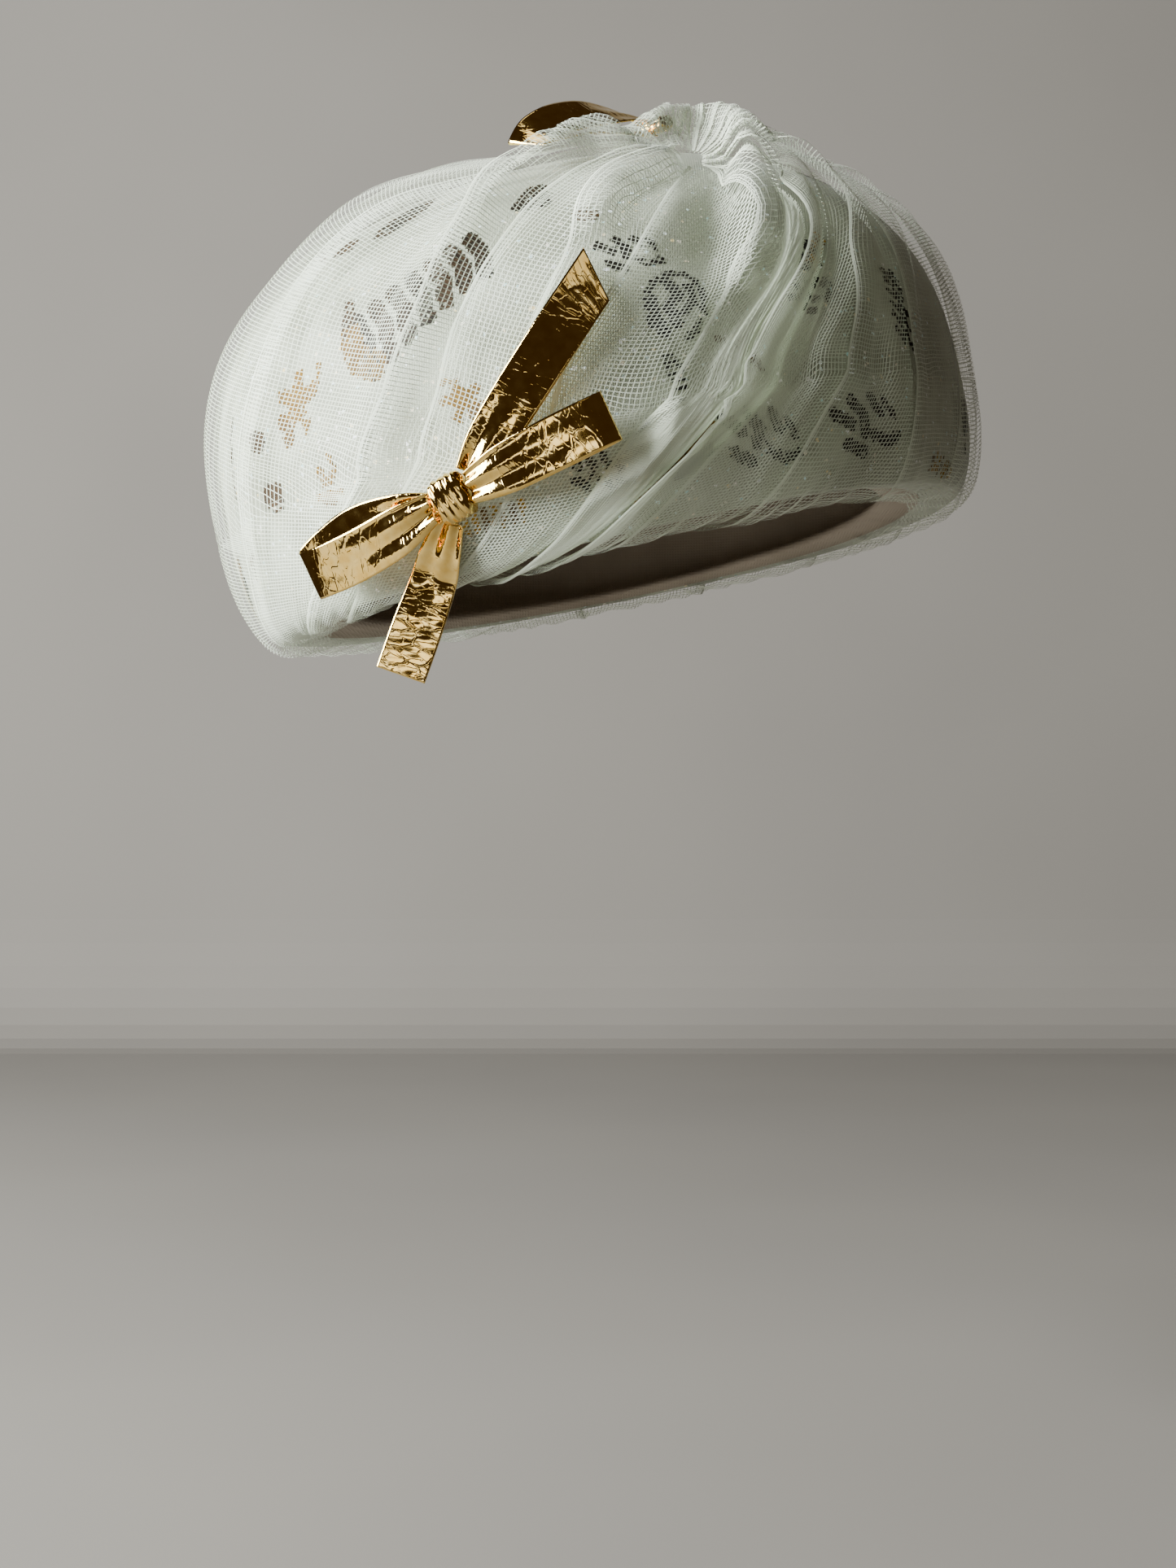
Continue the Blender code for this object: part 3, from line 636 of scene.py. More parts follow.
def noiseNode(tree, scale, detail=3.0, vector=None):
    node = tree.nodes.new("ShaderNodeTexNoise")
    setSockets(node, {"Scale": scale, "Detail": detail})
    if vector is not None:
        tree.links.new(vector, node.inputs["Vector"])
    return node


def colourRamp(tree, stops, factor=None):
    node = tree.nodes.new("ShaderNodeValToRGB")
    elements = node.color_ramp.elements
    while len(elements) < len(stops):
        elements.new(0.5)
    for element, (place, colour) in zip(elements, stops):
        element.position = place
        element.color = (*colour, 1)
    if factor is not None:
        tree.links.new(factor, node.inputs["Fac"])
    return node


def tintFrom(tree, shader, stops, factor):
    tint = colourRamp(tree, stops, factor)
    tree.links.new(tint.outputs["Color"], shader.inputs["Base Color"])


def mathNode(tree, operation, number, first, added=None):
    node = tree.nodes.new("ShaderNodeMath")
    node.operation = operation
    node.inputs[1].default_value = number
    tree.links.new(first, node.inputs[0])
    if added is not None:
        tree.links.new(added, node.inputs[2])
    return node.outputs[0]


def mapRange(tree, value, low, high, toLow, toHigh, smooth=False):
    node = tree.nodes.new("ShaderNodeMapRange")
    if smooth:
        node.interpolation_type = "SMOOTHSTEP"
    setSockets(node, {"From Min": low, "From Max": high, "To Min": toLow, "To Max": toHigh})
    tree.links.new(value, node.inputs["Value"])
    return node.outputs["Result"]


def objectCoordinates(tree):
    return tree.nodes.new("ShaderNodeTexCoord").outputs["Object"]


def weaveGroup():
    group = bpy.data.node_groups.new("fineWeave", "ShaderNodeTree")
    addSockets(group, (("Vector", "INPUT", "Vector"), ("Scale", "INPUT", "Float"),
                       ("Height", "OUTPUT", "Float")))
    add, link = group.nodes.new, group.links.new
    start, end = add("NodeGroupInput"), add("NodeGroupOutput")
    waves = []
    for direction in ("X", "Z"):
        wave = add("ShaderNodeTexWave")
        wave.bands_direction = direction
        setSockets(wave, {"Distortion": 0.6, "Detail": 1.0})
        link(start.outputs["Vector"], wave.inputs["Vector"])
        link(start.outputs["Scale"], wave.inputs["Scale"])
        waves.append(wave.outputs["Fac"])
    both = add("ShaderNodeMath")
    both.operation = "MULTIPLY"
    link(waves[0], both.inputs[0])
    link(waves[1], both.inputs[1])
    link(both.outputs[0], end.inputs["Height"])
    return group


fineWeave = weaveGroup()


def placeWeave(tree, vector, scale):
    node = tree.nodes.new("ShaderNodeGroup")
    node.node_tree = fineWeave
    node.inputs["Scale"].default_value = scale
    tree.links.new(vector, node.inputs["Vector"])
    return node.outputs["Height"]


def bumpInto(tree, shader, height, strength, distance):
    bump = tree.nodes.new("ShaderNodeBump")
    setSockets(bump, {"Strength": strength, "Distance": distance})
    tree.links.new(height, bump.inputs["Height"])
    tree.links.new(bump.outputs["Normal"], shader.inputs["Normal"])
    return bump


def threadMaterial(name, light, dark):
    material, tree, shader = newMaterial(name)
    where = objectCoordinates(tree)
    cloud = noiseNode(tree, 60, 4, where)
    tintFrom(tree, shader, ((0.3, dark), (0.7, light)), cloud.outputs["Fac"])
    setSockets(shader, {"Roughness": 0.75, "Alpha": 0.74, "Sheen Weight": 0.25, "Sheen Roughness": 0.4})
    return material


def sheerMaterial():
    material, tree, shader = newMaterial("sheerNet")
    where = objectCoordinates(tree)
    cloud = noiseNode(tree, 45, 3, where)
    tintFrom(tree, shader, ((0.3, (0.74, 0.75, 0.69)), (0.7, (0.84, 0.85, 0.80))), cloud.outputs["Fac"])
    fine = noiseNode(tree, 420, 2, where)
    alpha = mapRange(tree, fine.outputs["Fac"], 0.3, 0.7, 0.01, 0.04)
    tree.links.new(alpha, shader.inputs["Alpha"])
    setSockets(shader, {"Roughness": 0.8})
    return material


def brocadeMaterial():
    material, tree, shader = newMaterial("brocadeGround")
    where = objectCoordinates(tree)
    add, link = tree.nodes.new, tree.links.new
    cloud = noiseNode(tree, 55, 3, where)
    # The ground colour is painted shade: the white cloth is darkened to grey-olive as if shaded by the
    # net over it, with uneven tone from the noise.
    shadedGround = colourRamp(tree, ((0.40, (0.28, 0.30, 0.22)), (0.60, (0.43, 0.46, 0.36))),
                        cloud.outputs["Fac"])
    flecks = add("ShaderNodeTexVoronoi")
    setSockets(flecks, {"Scale": 1200})
    link(where, flecks.inputs["Vector"])
    pick = add("ShaderNodeSeparateColor")
    link(flecks.outputs["Color"], pick.inputs["Color"])
    few = mathNode(tree, "GREATER_THAN", 0.975, pick.outputs["Red"])
    fleckTint = colourRamp(tree, ((0.0, (0.85, 0.70, 0.35)), (0.5, (0.95, 0.95, 0.98)),
                                  (1.0, (0.55, 0.85, 0.85))), pick.outputs["Green"])
    mix = add("ShaderNodeMix")
    mix.data_type = "RGBA"
    link(few, mix.inputs["Factor"])
    link(shadedGround.outputs["Color"], mix.inputs["A"])
    link(fleckTint.outputs["Color"], mix.inputs["B"])
    link(mix.outputs["Result"], shader.inputs["Base Color"])
    link(mapRange(tree, few, 0, 1, 0.5, 0.2), shader.inputs["Roughness"])
    bumpInto(tree, shader, placeWeave(tree, where, 500), 0.35, 0.0003)
    setSockets(shader, {"Sheen Weight": 0.3})
    return material


def liningMaterial():
    material, tree, shader = newMaterial("plainLining")
    where = objectCoordinates(tree)
    cloud = noiseNode(tree, 30, 4, where)
    tintFrom(tree, shader, ((0.3, (0.30, 0.25, 0.19)), (0.7, (0.38, 0.32, 0.25))), cloud.outputs["Fac"])
    bumpInto(tree, shader, placeWeave(tree, where, 350), 0.4, 0.0003)
    setSockets(shader, {"Roughness": 0.7})
    return material


def foilMaterial():
    material, tree, shader = newMaterial("crinkledFoil")
    add, link = tree.nodes.new, tree.links.new
    where = add("ShaderNodeUVMap")
    where.uv_map = "along"
    cracks = []
    for stretch, turn in (((1.1, 2.6, 1), 0.35), ((2.0, 5.0, 1), -0.3)):
        place = add("ShaderNodeMapping")
        place.inputs["Scale"].default_value = stretch
        place.inputs["Rotation"].default_value = (0, 0, turn)
        link(where.outputs["UV"], place.inputs["Vector"])
        bend = noiseNode(tree, 1.5, 2, place.outputs["Vector"])
        moved = add("ShaderNodeVectorMath")
        moved.operation = "MULTIPLY_ADD"
        moved.inputs[1].default_value = (0.5, 0.5, 0)
        link(bend.outputs["Color"], moved.inputs[0])
        link(place.outputs["Vector"], moved.inputs[2])
        cells = add("ShaderNodeTexVoronoi")
        cells.feature = "DISTANCE_TO_EDGE"
        setSockets(cells, {"Scale": 1.0})
        link(moved.outputs["Vector"], cells.inputs["Vector"])
        cracks.append(mapRange(tree, cells.outputs["Distance"], 0.0, 0.07, 1.0, 0.0, smooth=True))
    most = mathNode(tree, "MULTIPLY_ADD", 0.45, cracks[1], cracks[0])
    swell = noiseNode(tree, 3.0, 2, where.outputs["UV"]).outputs["Fac"]
    bumpInto(tree, shader, mathNode(tree, "MULTIPLY_ADD", 0.4, swell, most), 0.45, 0.00005)
    tintFrom(tree, shader, ((0.35, (0.80, 0.52, 0.14)), (0.65, (0.92, 0.66, 0.23))), swell)
    link(mapRange(tree, swell, 0.3, 0.7, 0.04, 0.09), shader.inputs["Roughness"])
    setSockets(shader, {"Metallic": 1.0})
    return material


def figureMaterial():
    material, tree, shader = newMaterial("metallicFigure")
    tone = tree.nodes.new("ShaderNodeAttribute")
    tone.attribute_name = "tone"
    tintFrom(tree, shader, (
        (0.0, (0.004, 0.003, 0.002)), (0.2, (0.010, 0.006, 0.003)), (0.42, (0.060, 0.030, 0.010)),
        (0.6, (0.12, 0.056, 0.004)), (1.0, (0.34, 0.185, 0.010))), tone.outputs["Fac"])
    setSockets(shader, {"Roughness": 0.55, "Specular IOR Level": 0.12})
    return material


materials = {
    "brocade": brocadeMaterial(), "lining": liningMaterial(), "foil": foilMaterial(),
    "figure": figureMaterial(), "sheer": sheerMaterial(),
    "thread": threadMaterial("netThreadIvory", (0.80, 0.86, 0.73), (0.67, 0.73, 0.58)),
}
print("materials ready")


# Foundation: brocade outside, lining inside, turned under to the head opening
foundationSettings = {"sides": 200, "rings": 70, "firstShare": 0.012, "turnUnder": 0.05}


def foundation():
    sides, rings = foundationSettings["sides"], foundationSettings["rings"]
    azimuth = 2 * np.pi * np.arange(sides) / sides
    shares = np.linspace(foundationSettings["firstShare"], 1, rings)
    share, angle = np.meshgrid(shares, azimuth, indexing="ij")
    points, normals = crownPoint(angle, share), crownNormal(angle, share)
    outer = points - normals * crown["capInset"]
    inner = (points - normals * (crown["capInset"] + crown["capWall"]))[::-1]
    rows = np.concatenate([outer, inner])
    verts = rows.reshape(-1, 3)
    faces = gridFaces(len(rows), sides, 0, around=True)
    top, up = patternPlace(np.array([0.0]), np.array([0.0001]))
    depths = (crown["capInset"], crown["capInset"] + crown["capWall"])
    poles = [top[0] - up[0] * depth for depth in depths]
    verts = np.concatenate([verts, poles])
    last = (len(rows) - 1) * sides
    for side in range(sides):
        after = (side + 1) % sides
        faces.append((len(verts) - 2, side, after))
        faces.append((len(verts) - 1, last + after, last + side))
    obj = newObject("foundation", toWorld(verts), faces)
    obj.data.materials.append(materials["brocade"])
    obj.data.materials.append(materials["lining"])
    turnedUnder = int((rings - 1) * foundationSettings["turnUnder"])
    lined = [0] * ((rings - 1 - turnedUnder) * sides) + [1] * ((turnedUnder + rings) * sides)
    obj.data.polygons.foreach_set("material_index", lined + [0, 1] * sides)
    obj.data.shade_smooth()
    return obj


# Figures woven in the brocade: strokes of small square cells, in millimetres on the cloth.
# Each stroke: points along it, half width, tone (low is brown, high is gold) and how closely it is filled
def wedgeStrokes():
    strokes = []
    for k in range(7):
        x, y = 11.5 - 3.5 * k, 9.0 - 2.9 * k
        way = ((x - 2.0, y + 3.8), (x + 1.5, y - 0.5), (x + 3.2, y - 5.5))
        strokes.append((way, 1.65, 0.22 + 0.04 * (k % 3), 0.98))
    strokes.append((((-15, -1.0), (-13.2, -6.0)), 1.6, 0.35, 0.9))
    strokes.append((((-12.5, -7.5), (-10.0, -12.0), (-6.0, -13.0)), 2.6, 0.72, 0.9))
    return strokes


def outlineStrokes():
    oval = [(6.2 * math.cos(a), 7.5 * math.sin(a)) for a in np.linspace(-1.0, 4.0, 14)]
    return [
        (oval, 0.65, 0.10, 0.85),
        (((-2.5, 5.0), (0.5, 2.0), (-1.5, -1.0), (1.0, -4.0)), 1.15, 0.06, 0.97),
        (((2.5, 4.5), (3.8, 1.5), (2.2, -1.5)), 1.0, 0.08, 0.95),
        (((-5.0, 0.0), (-4.2, -3.5), (-1.5, -6.0)), 1.3, 0.06, 0.95),
        (((0.0, -11.0), (1.6, -12.5)), 1.7, 0.03, 0.95),
    ]


def chevronStrokes():
    rows = [9.5 - 3.6 * k for k in range(6)]
    return [(((-3.6, y + 1.6), (-0.6, y - 0.6), (0.8, y + 1.4), (3.4, y - 1.0)), 0.95, 0.14, 0.92)
            for y in rows]


def leafStrokes():
    rim = [(8.5 * math.cos(a), 3.9 * math.sin(a)) for a in np.linspace(0, 2 * math.pi, 22)]
    veins = [(((x, -2.9), (x + 1.6, 2.9)), 1.15, 0.22, 0.95) for x in (-5.4, -3.0, -0.6, 1.8, 4.2)]
    return [(rim, 1.2, 0.32, 0.97)] + veins


def starStrokes():
    arms = [(((0, 0), (6.2 * math.cos(a), 6.2 * math.sin(a))), 1.9, 0.74, 0.85)
            for a in (0.4, 1.6, 2.9, 4.3, 5.3)]
    stem, bud = ((-5, -4.5), (-3.2, -7.5)), ((6.5, 3.0), (7.0, 8.0))
    return arms + [(stem, 2.2, 0.62, 0.95), (bud, 1.1, 0.80, 0.6)]


def rowStrokes():
    return [(((x, -2.6 + 0.5 * math.sin(x)), (x + 0.8, 2.4)), 0.8, 0.97 if k % 3 else 0.55, 0.8)
            for k, x in enumerate(np.arange(-9, 9.5, 2.6))]


figureShapes = {
    "wedges": wedgeStrokes(), "outline": outlineStrokes(), "chevrons": chevronStrokes(),
    "leaf": leafStrokes(), "star": starStrokes(), "row": rowStrokes(),
    "dot": [(((0, 0), (0.2, 0)), 2.6, 0.36, 1.0)],
    "wideDot": [(((-1.8, 0), (1.8, 0)), 2.5, 0.34, 1.0)],
    "smallDot": [(((0, 0), (0.6, 0.2)), 1.5, 0.45, 0.9)],
    "sprig": [
        (((0, -6), (0.4, 0), (-0.4, 6)), 0.7, 0.40, 0.85), (((0, 0), (2.6, 2.4)), 0.8, 0.48, 0.8),
        (((0, -2.5), (-2.4, -0.2)), 0.8, 0.48, 0.8),
    ],
    "strip": [(((0, -10), (0.6, -3), (-0.4, 4), (0.5, 10)), 1.0, 0.35, 0.6)],
    "bud": [(((-1.2, -2.0), (0.2, 2.6)), 1.5, 0.22, 0.9), (((1.6, -2.2), (1.4, 0.6)), 0.9, 0.2, 0.9)],
    "patch": [
        (((-6.5, 4.5), (-3.5, 1.5)), 1.2, 0.10, 0.95),
        (((-1.5, 4.8), (0.2, 1.2), (-1.0, -1.5)), 1.15, 0.08, 0.95),
        (((3.2, 3.6), (4.4, 0.2)), 1.0, 0.12, 0.9), (((-5.5, -2.0), (-2.6, -4.6)), 1.3, 0.08, 0.95),
        (((1.0, -2.6), (4.5, -5.5), (7.5, -5.0)), 1.1, 0.1, 0.9),
        (((6.4, 2.0), (7.6, -1.4)), 0.9, 0.12, 0.85),
    ],
    "blaze": [
        (((-8, -5), (-1, 0), (7, 6)), 3.0, 0.58, 0.9), (((-10, -9), (-7, -3)), 1.8, 0.66, 0.85),
        (((0, -4), (7, 1)), 1.9, 0.2, 0.9),
    ],
}
# Shape, degrees round the crown, share from its top, turn in degrees, size
figurePlaces = (
    ("wedges", -113, 0.556, 0, 1.4), ("leaf", -120.5, 0.352, 76, 1.15), ("dot", -134.1, 0.38, 0, 1.7),
    ("smallDot", -131.5, 0.395, 0, 1.1), ("smallDot", -141.5, 0.38, 0, 1),
    ("wideDot", -146, 0.668, 0, 1.15), ("wideDot", -143.6, 0.714, 0, 1.3),
    ("star", -134.6, 0.646, 0, 1.15), ("strip", -156.3, 0.663, 0, 1), ("sprig", -156.3, 0.757, 0, 0.9),
    ("bud", -93, 0.415, 0, 2), ("smallDot", -86.1, 0.487, 0, 1.9), ("patch", -81.5, 0.568, 20, 1),
    ("outline", -77, 0.648, -8, 1.25), ("chevrons", -37.9, 0.667, 4, 1),
    ("outline", -18.5, 0.76, 10, 0.8), ("patch", -92.1, 0.772, 10, 0.9), ("blaze", -81, 0.777, 8, 1.1),
    ("patch", -69, 0.77, 15, 1.4), ("patch", -51, 0.772, 30, 1.5), ("star", -107.5, 0.694, 90, 0.75),
    ("sprig", -69.5, 0.7, 60, 1.2), ("row", -52.5, 0.6, 60, 0.7), ("patch", -56.5, 0.655, 50, 0.8),
    ("star", -130.8, 0.72, 40, 0.7), ("row", -107.5, 0.8, 12, 1), ("leaf", -28, 0.4, -30, 0.8),
    ("smallDot", -25, 0.52, 0, 1), ("outline", -55, 0.6, 30, 0.8), ("leaf", -100, 0.2, 60, 0.8),
    ("wedges", 12, 0.6, 20, 0.9), ("dot", 30, 0.48, 0, 1), ("star", 36, 0.66, 10, 1),
    ("leaf", 55, 0.44, 40, 1), ("outline", 62, 0.66, -15, 1), ("chevrons", 84, 0.58, 8, 1),
    ("dot", 78, 0.74, 0, 1), ("wedges", 108, 0.62, -15, 1), ("leaf", 100, 0.36, 70, 0.9),
    ("star", 130, 0.52, 30, 1), ("smallDot", 140, 0.7, 0, 1), ("outline", 152, 0.62, 25, 1),
    ("chevrons", 172, 0.52, -20, 0.9), ("dot", 178, 0.72, 0, 1), ("blaze", -168, 0.78, 20, 0.9),
    ("leaf", 165, 0.3, 10, 0.9), ("bud", 20, 0.22, 0, 1.1), ("bud", -170, 0.4, 40, 1),
    ("patch", 45, 0.8, 0, 0.9), ("patch", 120, 0.8, 25, 0.9), ("row", -30, 0.84, 0, 0.9),
    ("row", 10, 0.83, 0, 0.9), ("row", 150, 0.83, 0, 0.9),
)
figureSettings = {"cell": 0.97, "pitch": 0.95, "above": 0.12, "reach": 22, "toneSpread": 0.035, "seed": 7}


def strokeDistance(x, y, points):
    best = np.full(x.shape, 99.0)
    for (ax, ay), (bx, by) in zip(points, points[1:]):
        dx, dy = bx - ax, by - ay
        along = np.clip(((x - ax) * dx + (y - ay) * dy) / (dx * dx + dy * dy + 1e-9), 0, 1)
        best = np.minimum(best, np.hypot(x - ax - along * dx, y - ay - along * dy))
    return best


def figureTree():
    tree, start, realize = repeatTree("wovenCells", "Cell Size")
    add, link = tree.nodes.new, tree.links.new
    turn, cell = add("FunctionNodeAxesToRotation"), add("GeometryNodeMeshGrid")
    place = add("GeometryNodeInstanceOnPoints")
    turn.primary_axis, turn.secondary_axis = "Z", "X"
    link(readVector(tree, "facing"), turn.inputs["Primary Axis"])
    link(readVector(tree, "along"), turn.inputs["Secondary Axis"])
    for axis in "XY":
        cell.inputs["Vertices " + axis].default_value = 2
        link(start.outputs["Cell Size"], cell.inputs["Size " + axis])
    link(start.outputs["Geometry"], place.inputs["Points"])
    link(cell.outputs["Mesh"], place.inputs["Instance"])
    link(turn.outputs["Rotation"], place.inputs["Rotation"])
    link(place.outputs["Instances"], realize.inputs["Geometry"])
    return tree


def wovenFigures():
    chance = np.random.default_rng(figureSettings["seed"])
    pitch, reach = figureSettings["pitch"], figureSettings["reach"]
    spots = {"points": [], "facing": [], "along": [], "tone": []}
    for shape, azimuth, share, turned, size in figurePlaces:
        lattice = np.arange(-reach, reach + pitch, pitch)
        x, y = (part.ravel() for part in np.meshgrid(lattice, lattice))
        turn = math.radians(turned - wornTilt)
        ownX = (x * math.cos(turn) + y * math.sin(turn)) / size
        ownY = (-x * math.sin(turn) + y * math.cos(turn)) / size
        tone = np.full(x.shape, -1.0)
        for points, halfWidth, strokeTone, filled in figureShapes[shape]:
            inside = (strokeDistance(ownX, ownY, points) < halfWidth) & (chance.random(x.size) < filled)
            tone[inside] = strokeTone
        chosen = tone >= 0
        x, y, tone = x[chosen], y[chosen], tone[chosen]
        angle, step = math.radians(azimuth), 0.01
        metric = np.stack([
            (crownPoint(angle + step, share) - crownPoint(angle - step, share)) / (2 * step),
            (crownPoint(angle, share - step) - crownPoint(angle, share + step)) / (2 * step)])
        lengths = np.linalg.norm(metric, axis=1)
        angles = angle + x / lengths[0]
        shares = np.clip(share - y / lengths[1], 0.02, 0.97)
        normals = crownNormal(angles, shares)
        along = unit(crownPoint(angles + step, shares) - crownPoint(angles - step, shares))
        depth = crown["capInset"] - figureSettings["above"]
        spots["points"].append(crownPoint(angles, shares) - normals * depth)
        spots["facing"].append(normals)
        spots["along"].append(along)
        uneven = chance.normal(0, figureSettings["toneSpread"], tone.size)
        spots["tone"].append(np.clip(tone + uneven, 0, 1))
    spots = {name: np.concatenate(parts) for name, parts in spots.items()}
    obj = newObject("woven_figures", toWorld(spots["points"]), ())
    for name in ("facing", "along"):
        attribute = obj.data.attributes.new(name, "FLOAT_VECTOR", "POINT")
        attribute.data.foreach_set("vector", (spots[name] @ tiltMatrix.T).astype(np.float32).ravel())
    attribute = obj.data.attributes.new("tone", "FLOAT", "POINT")
    attribute.data.foreach_set("value", spots["tone"].astype(np.float32))
    modifier = obj.modifiers.new("cells", "NODES")
    modifier.node_group = figureTree()
    setInput(modifier, "Cell Size", figureSettings["cell"] * 0.001)
    setInput(modifier, "Material", materials["figure"])
    return applyModifiers(obj)


# Foil ribbons with transverse crinkles
ribbonSettings = {
    "width": 13, "rowStep": 0.45, "columns": 24, "routeSteps": 200, "wall": 0.3, "crinkle": 0.09,
    "pinch": 0.9, "pinchLength": 7.0, "swell": 1.3, "crease": 0.32, "grain": 0.04, "slantFrom": 16,
}


def foilRibbon(name):
    s, rows = ribbonSettings, ribbonRoutes[name]
    columns, fine = s["columns"], np.linspace(0, 1, s["routeSteps"])
    rough = smoothRoute([row[:3] for row in rows], len(fine))
    travelled = np.concatenate([[0], np.cumsum(np.linalg.norm(np.diff(rough, axis=0), axis=1))])
    length = np.linalg.norm(np.diff(rough, axis=0), axis=1).sum()
    samples = int(length / s["rowStep"])
    stops = np.interp(np.linspace(0, length, samples), travelled, fine)
    middles = np.stack([np.interp(stops, fine, rough[:, k]) for k in range(3)], 1)
    acrossAll = smoothRoute([row[3:6] for row in rows], len(fine))
    across = unit(np.stack([np.interp(stops, fine, acrossAll[:, k]) for k in range(3)], 1))
    widths = np.interp(stops, fine, smoothRoute([(row[6],) for row in rows], len(fine))[:, 0])
    onward = unit(np.gradient(middles, axis=0))
    for step in range(4):
        onward[1:-1] = unit(onward[:-2] + onward[1:-1] + onward[2:])
    out = unit(np.cross(onward, across))
    side = np.linspace(-0.5, 0.5, columns)
    distance = np.linspace(0, length, samples)
    closeToKnot = np.exp(-distance / s["pinchLength"])
    if "loop" in name:
        closeToKnot = closeToKnot + np.exp(-(length - distance) / s["pinchLength"])
    points = middles[:, None] + across[:, None] * (side[None, :, None] * widths[:, None, None])
    bumps = np.zeros(points.shape[:2])
    seed = sum(ord(letter) for letter in name) % 50
    for i in range(samples):
        for j in range(columns):
            x, y = distance[i], side[j] * s["width"]
            value = noise.noise((x * 0.11, y * 0.10, seed)) * s["swell"]
            value += (0.5 - abs(noise.noise((x * 0.42 + 0.10 * y, y * 0.05, seed + 9)))) * s["crease"]
            value += noise.noise((x * 1.1 - 0.3 * y, y * 0.2, seed + 20)) * s["grain"]
            bumps[i, j] = value
    bumps *= s["crinkle"] * (0.5 + 0.5 * np.cos(side * np.pi))[None] + 0.06
    bumps += s["pinch"] * closeToKnot[:, None] * np.sin(side * 4 * np.pi + seed)[None]
    points = points + out[:, None] * bumps[..., None]
    slant = ribbonSlants.get(name, 0.0)
    if slant:
        fade = ramp(distance, length - s["slantFrom"], length)
        points += onward[:, None] * (fade[:, None] * side[None] * slant)[..., None]
    obj = newObject(name + "_foil", points.reshape(-1, 3) * 0.001, gridFaces(samples, columns))
    u, v = np.meshgrid(side * 1.3, distance / 10, indexing="ij")
    addMap(obj, np.stack([u.T.ravel(), v.T.ravel()], 1), "along")
    solid = obj.modifiers.new("wall", "SOLIDIFY")
    solid.thickness = s["wall"] * 0.001
    solid.offset = 0
    applyModifiers(obj)
    obj.data.materials.append(materials["foil"])
    obj.data.shade_smooth()
    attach(obj, "root")
    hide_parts(name)
    return obj


# Knots: a pad of wrapped ribbon with creases along the wrap
knotSettings = {
    "front_bow_knot": ((0.823, 0.3137, -0.4735, -0.0452), (-0.3721, 0.9276, -0.0322, -0.113),
                       (0.4291, 0.2027, 0.8802, 0.0076), (0.0100, 0.0084, 0.0130)),
    "crown_loop_knot": ((0.6745, 0.671, -0.3079, 0.0079), (-0.7254, 0.6799, -0.1075, -0.0391),
                        (0.1372, 0.2959, 0.9453, 0.121), (0.009, 0.007, 0.0044)),
}


knotShape = {"rings": 60, "sides": 90, "square": 3.2, "fill": 0.93, "crease": 0.035, "wrap": 0.03}


def foilKnot(name):
    *axes, size = knotSettings[name]
    matrix = Matrix([*axes, (0, 0, 0, 1)])
    rings, sides, power = knotShape["rings"], knotShape["sides"], knotShape["square"]
    stops = np.linspace(-1, 1, rings)
    verts = []
    for value in stops:
        shrink = (1 - abs(value) ** 4) ** 0.25 if abs(value) < 1 else 0.0
        end = 0.97 if abs(value) == 1 else 1.0
        for a in 2 * np.pi * np.arange(sides) / sides:
            c, s = math.cos(a), math.sin(a)
            r = (abs(c) ** power + abs(s) ** power) ** (-1 / power)
            crease = knotShape["crease"] * noise.noise((value * 7, c * 1.5, s * 1.5 + 4))
            crease += knotShape["wrap"] * math.sin(value * 16 + 3 * c)
            k = (knotShape["fill"] + crease) * max(shrink, 0.02) * r
            verts.append((size[0] / 2 * value * end, size[1] / 2 * k * s, size[2] / 2 * k * c))
    ends = [tuple(range(sides)), tuple(reversed(range(len(verts) - sides, len(verts))))]
    faces = gridFaces(rings, sides, 0, around=True) + ends
    obj = newObject(name + "_foil", [matrix @ Vector(v) for v in verts], faces)
    mesh = obj.data
    uv = np.stack([np.tile(np.arange(sides) / sides * 3, rings), np.repeat(stops, sides)], 1)
    addMap(obj, uv, "along")
    mesh.materials.append(materials["foil"])
    mesh.shade_smooth()
    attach(obj, "root")
    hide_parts(name)
    return obj


# Put the hat together
cap = foundation()
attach(cap, "root")
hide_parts("brocade_cap")
figures = wovenFigures()
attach(figures, "root")
print("foundation ready")

sheet = netSheet()
sheet.data.materials.append(materials["sheer"])
lengthwise, crosswise = foldedThreads()
threadPieces = [
    threadsFrom("net_threads_lengthwise", lengthwise, netSettings["thread"], materials["thread"]),
    threadsFrom("net_threads_crosswise", crosswise, netSettings["thread"], materials["thread"]),
]
for piece in [sheet] + threadPieces:
    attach(piece, "root")
    print(piece.name, "triangles", sum(len(p.vertices) - 2 for p in piece.data.polygons))
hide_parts("net_drape")
area = sum(p.area for p in sheet.data.polygons)
print("net area", round(area, 4))

for name in ribbonRoutes:
    foilRibbon(name)
for name in knotSettings:
    foilKnot(name)
print("ribbons ready")


# Floor, wall and light
stageSettings = {
    "floorZ": -0.276, "wallY": 1.25, "curve": 0.10, "front": -0.8, "top": 1.6, "sides": (-0.64, 1.6),
}


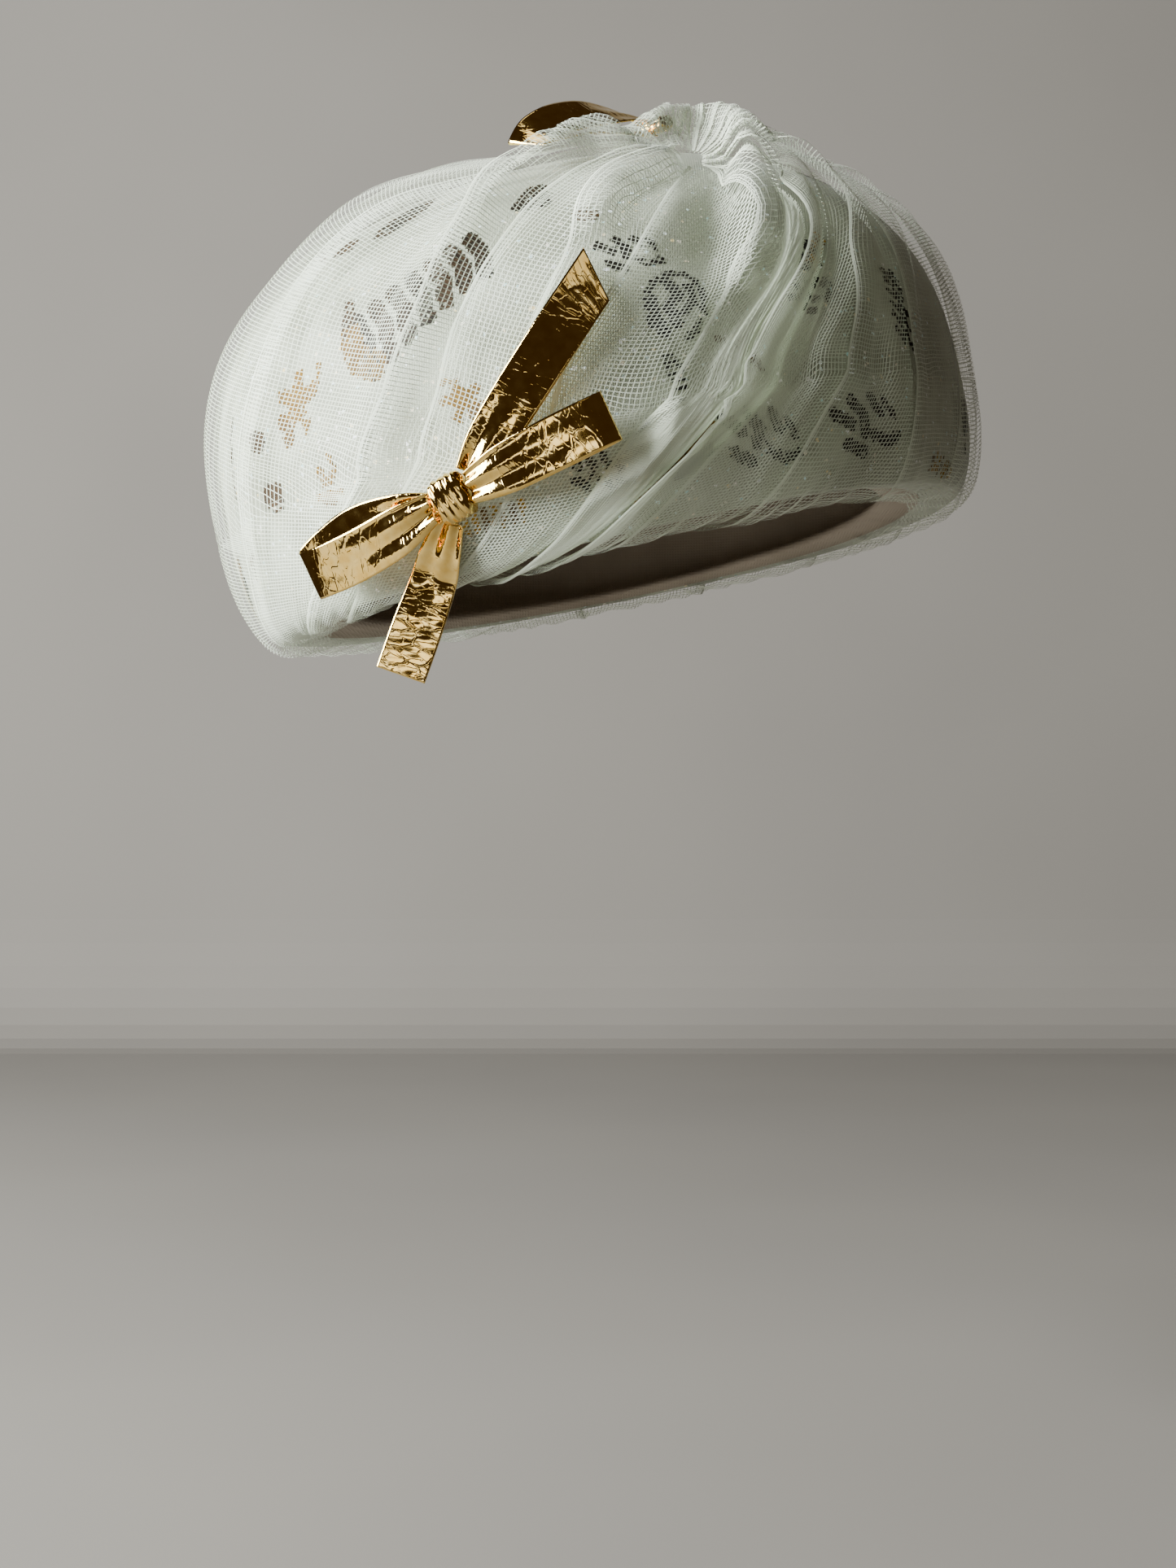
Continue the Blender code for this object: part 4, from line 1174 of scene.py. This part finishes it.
def addStage():
    floorZ, wallY, curve = stageSettings["floorZ"], stageSettings["wallY"], stageSettings["curve"]
    profile = [(stageSettings["front"], floorZ), (wallY - curve, floorZ)]
    profile += [(wallY - curve + curve * math.sin(a), floorZ + curve - curve * math.cos(a))
                for a in np.linspace(0.2, math.pi / 2, 8)]
    profile += [(wallY, stageSettings["top"])]
    verts = [(x, y, z) for y, z in profile for x in stageSettings["sides"]]
    faces = [(k, k + 1, k + 3, k + 2) for k in range(0, 2 * len(profile) - 2, 2)]
    obj = newObject("stage", verts, faces)
    material, tree, shader = newMaterial("paleWall")
    cloud = noiseNode(tree, 3, 2, objectCoordinates(tree))
    tintFrom(tree, shader, ((0.3, (0.190, 0.174, 0.158)), (0.7, (0.208, 0.191, 0.173))),
             cloud.outputs["Fac"])
    setSockets(shader, {"Roughness": 0.9})
    obj.data.materials.append(material)


def addLight(name, place, target, size, power, colour, roll=0.0):
    data = bpy.data.lights.new(name, "AREA")
    data.shape = "RECTANGLE"
    data.size, data.size_y = size
    data.energy = power
    data.color = colour
    obj = bpy.data.objects.new(name, data)
    obj.location = place
    aim = (Vector(target) - Vector(place)).to_track_quat("-Z", "Y")
    obj.rotation_euler = (aim @ Quaternion((0, 0, 1), roll)).to_euler()
    bpy.context.scene.collection.objects.link(obj)


addStage()
warm = (1.0, 0.97, 0.90)
addLight("windowLeft", (-1.36, -0.50, 0.42), (0, 0, 0.04), (0.8, 1.2), 146, (0.96, 1.0, 0.98))
addLight("stripLow", (-0.39, -1.25, -0.07), (-0.04, -0.11, 0.01), (0.90, 0.07), 0.55, warm, 0.42)
addLight("stripHigh", (-0.18, -1.10, 0.86), (-0.02, -0.12, 0.05), (0.40, 0.16), 0.24, warm)
addLight("skyTop", (-0.27, 0.12, 1.10), (-0.02, -0.07, 0.11), (0.50, 0.20), 0.9, warm)
world = bpy.data.worlds.new("room")
bpy.context.scene.world = world
world.use_nodes = True
setSockets(world.node_tree.nodes["Background"], {"Color": (1.0, 0.64, 0.30, 1), "Strength": 0.042})
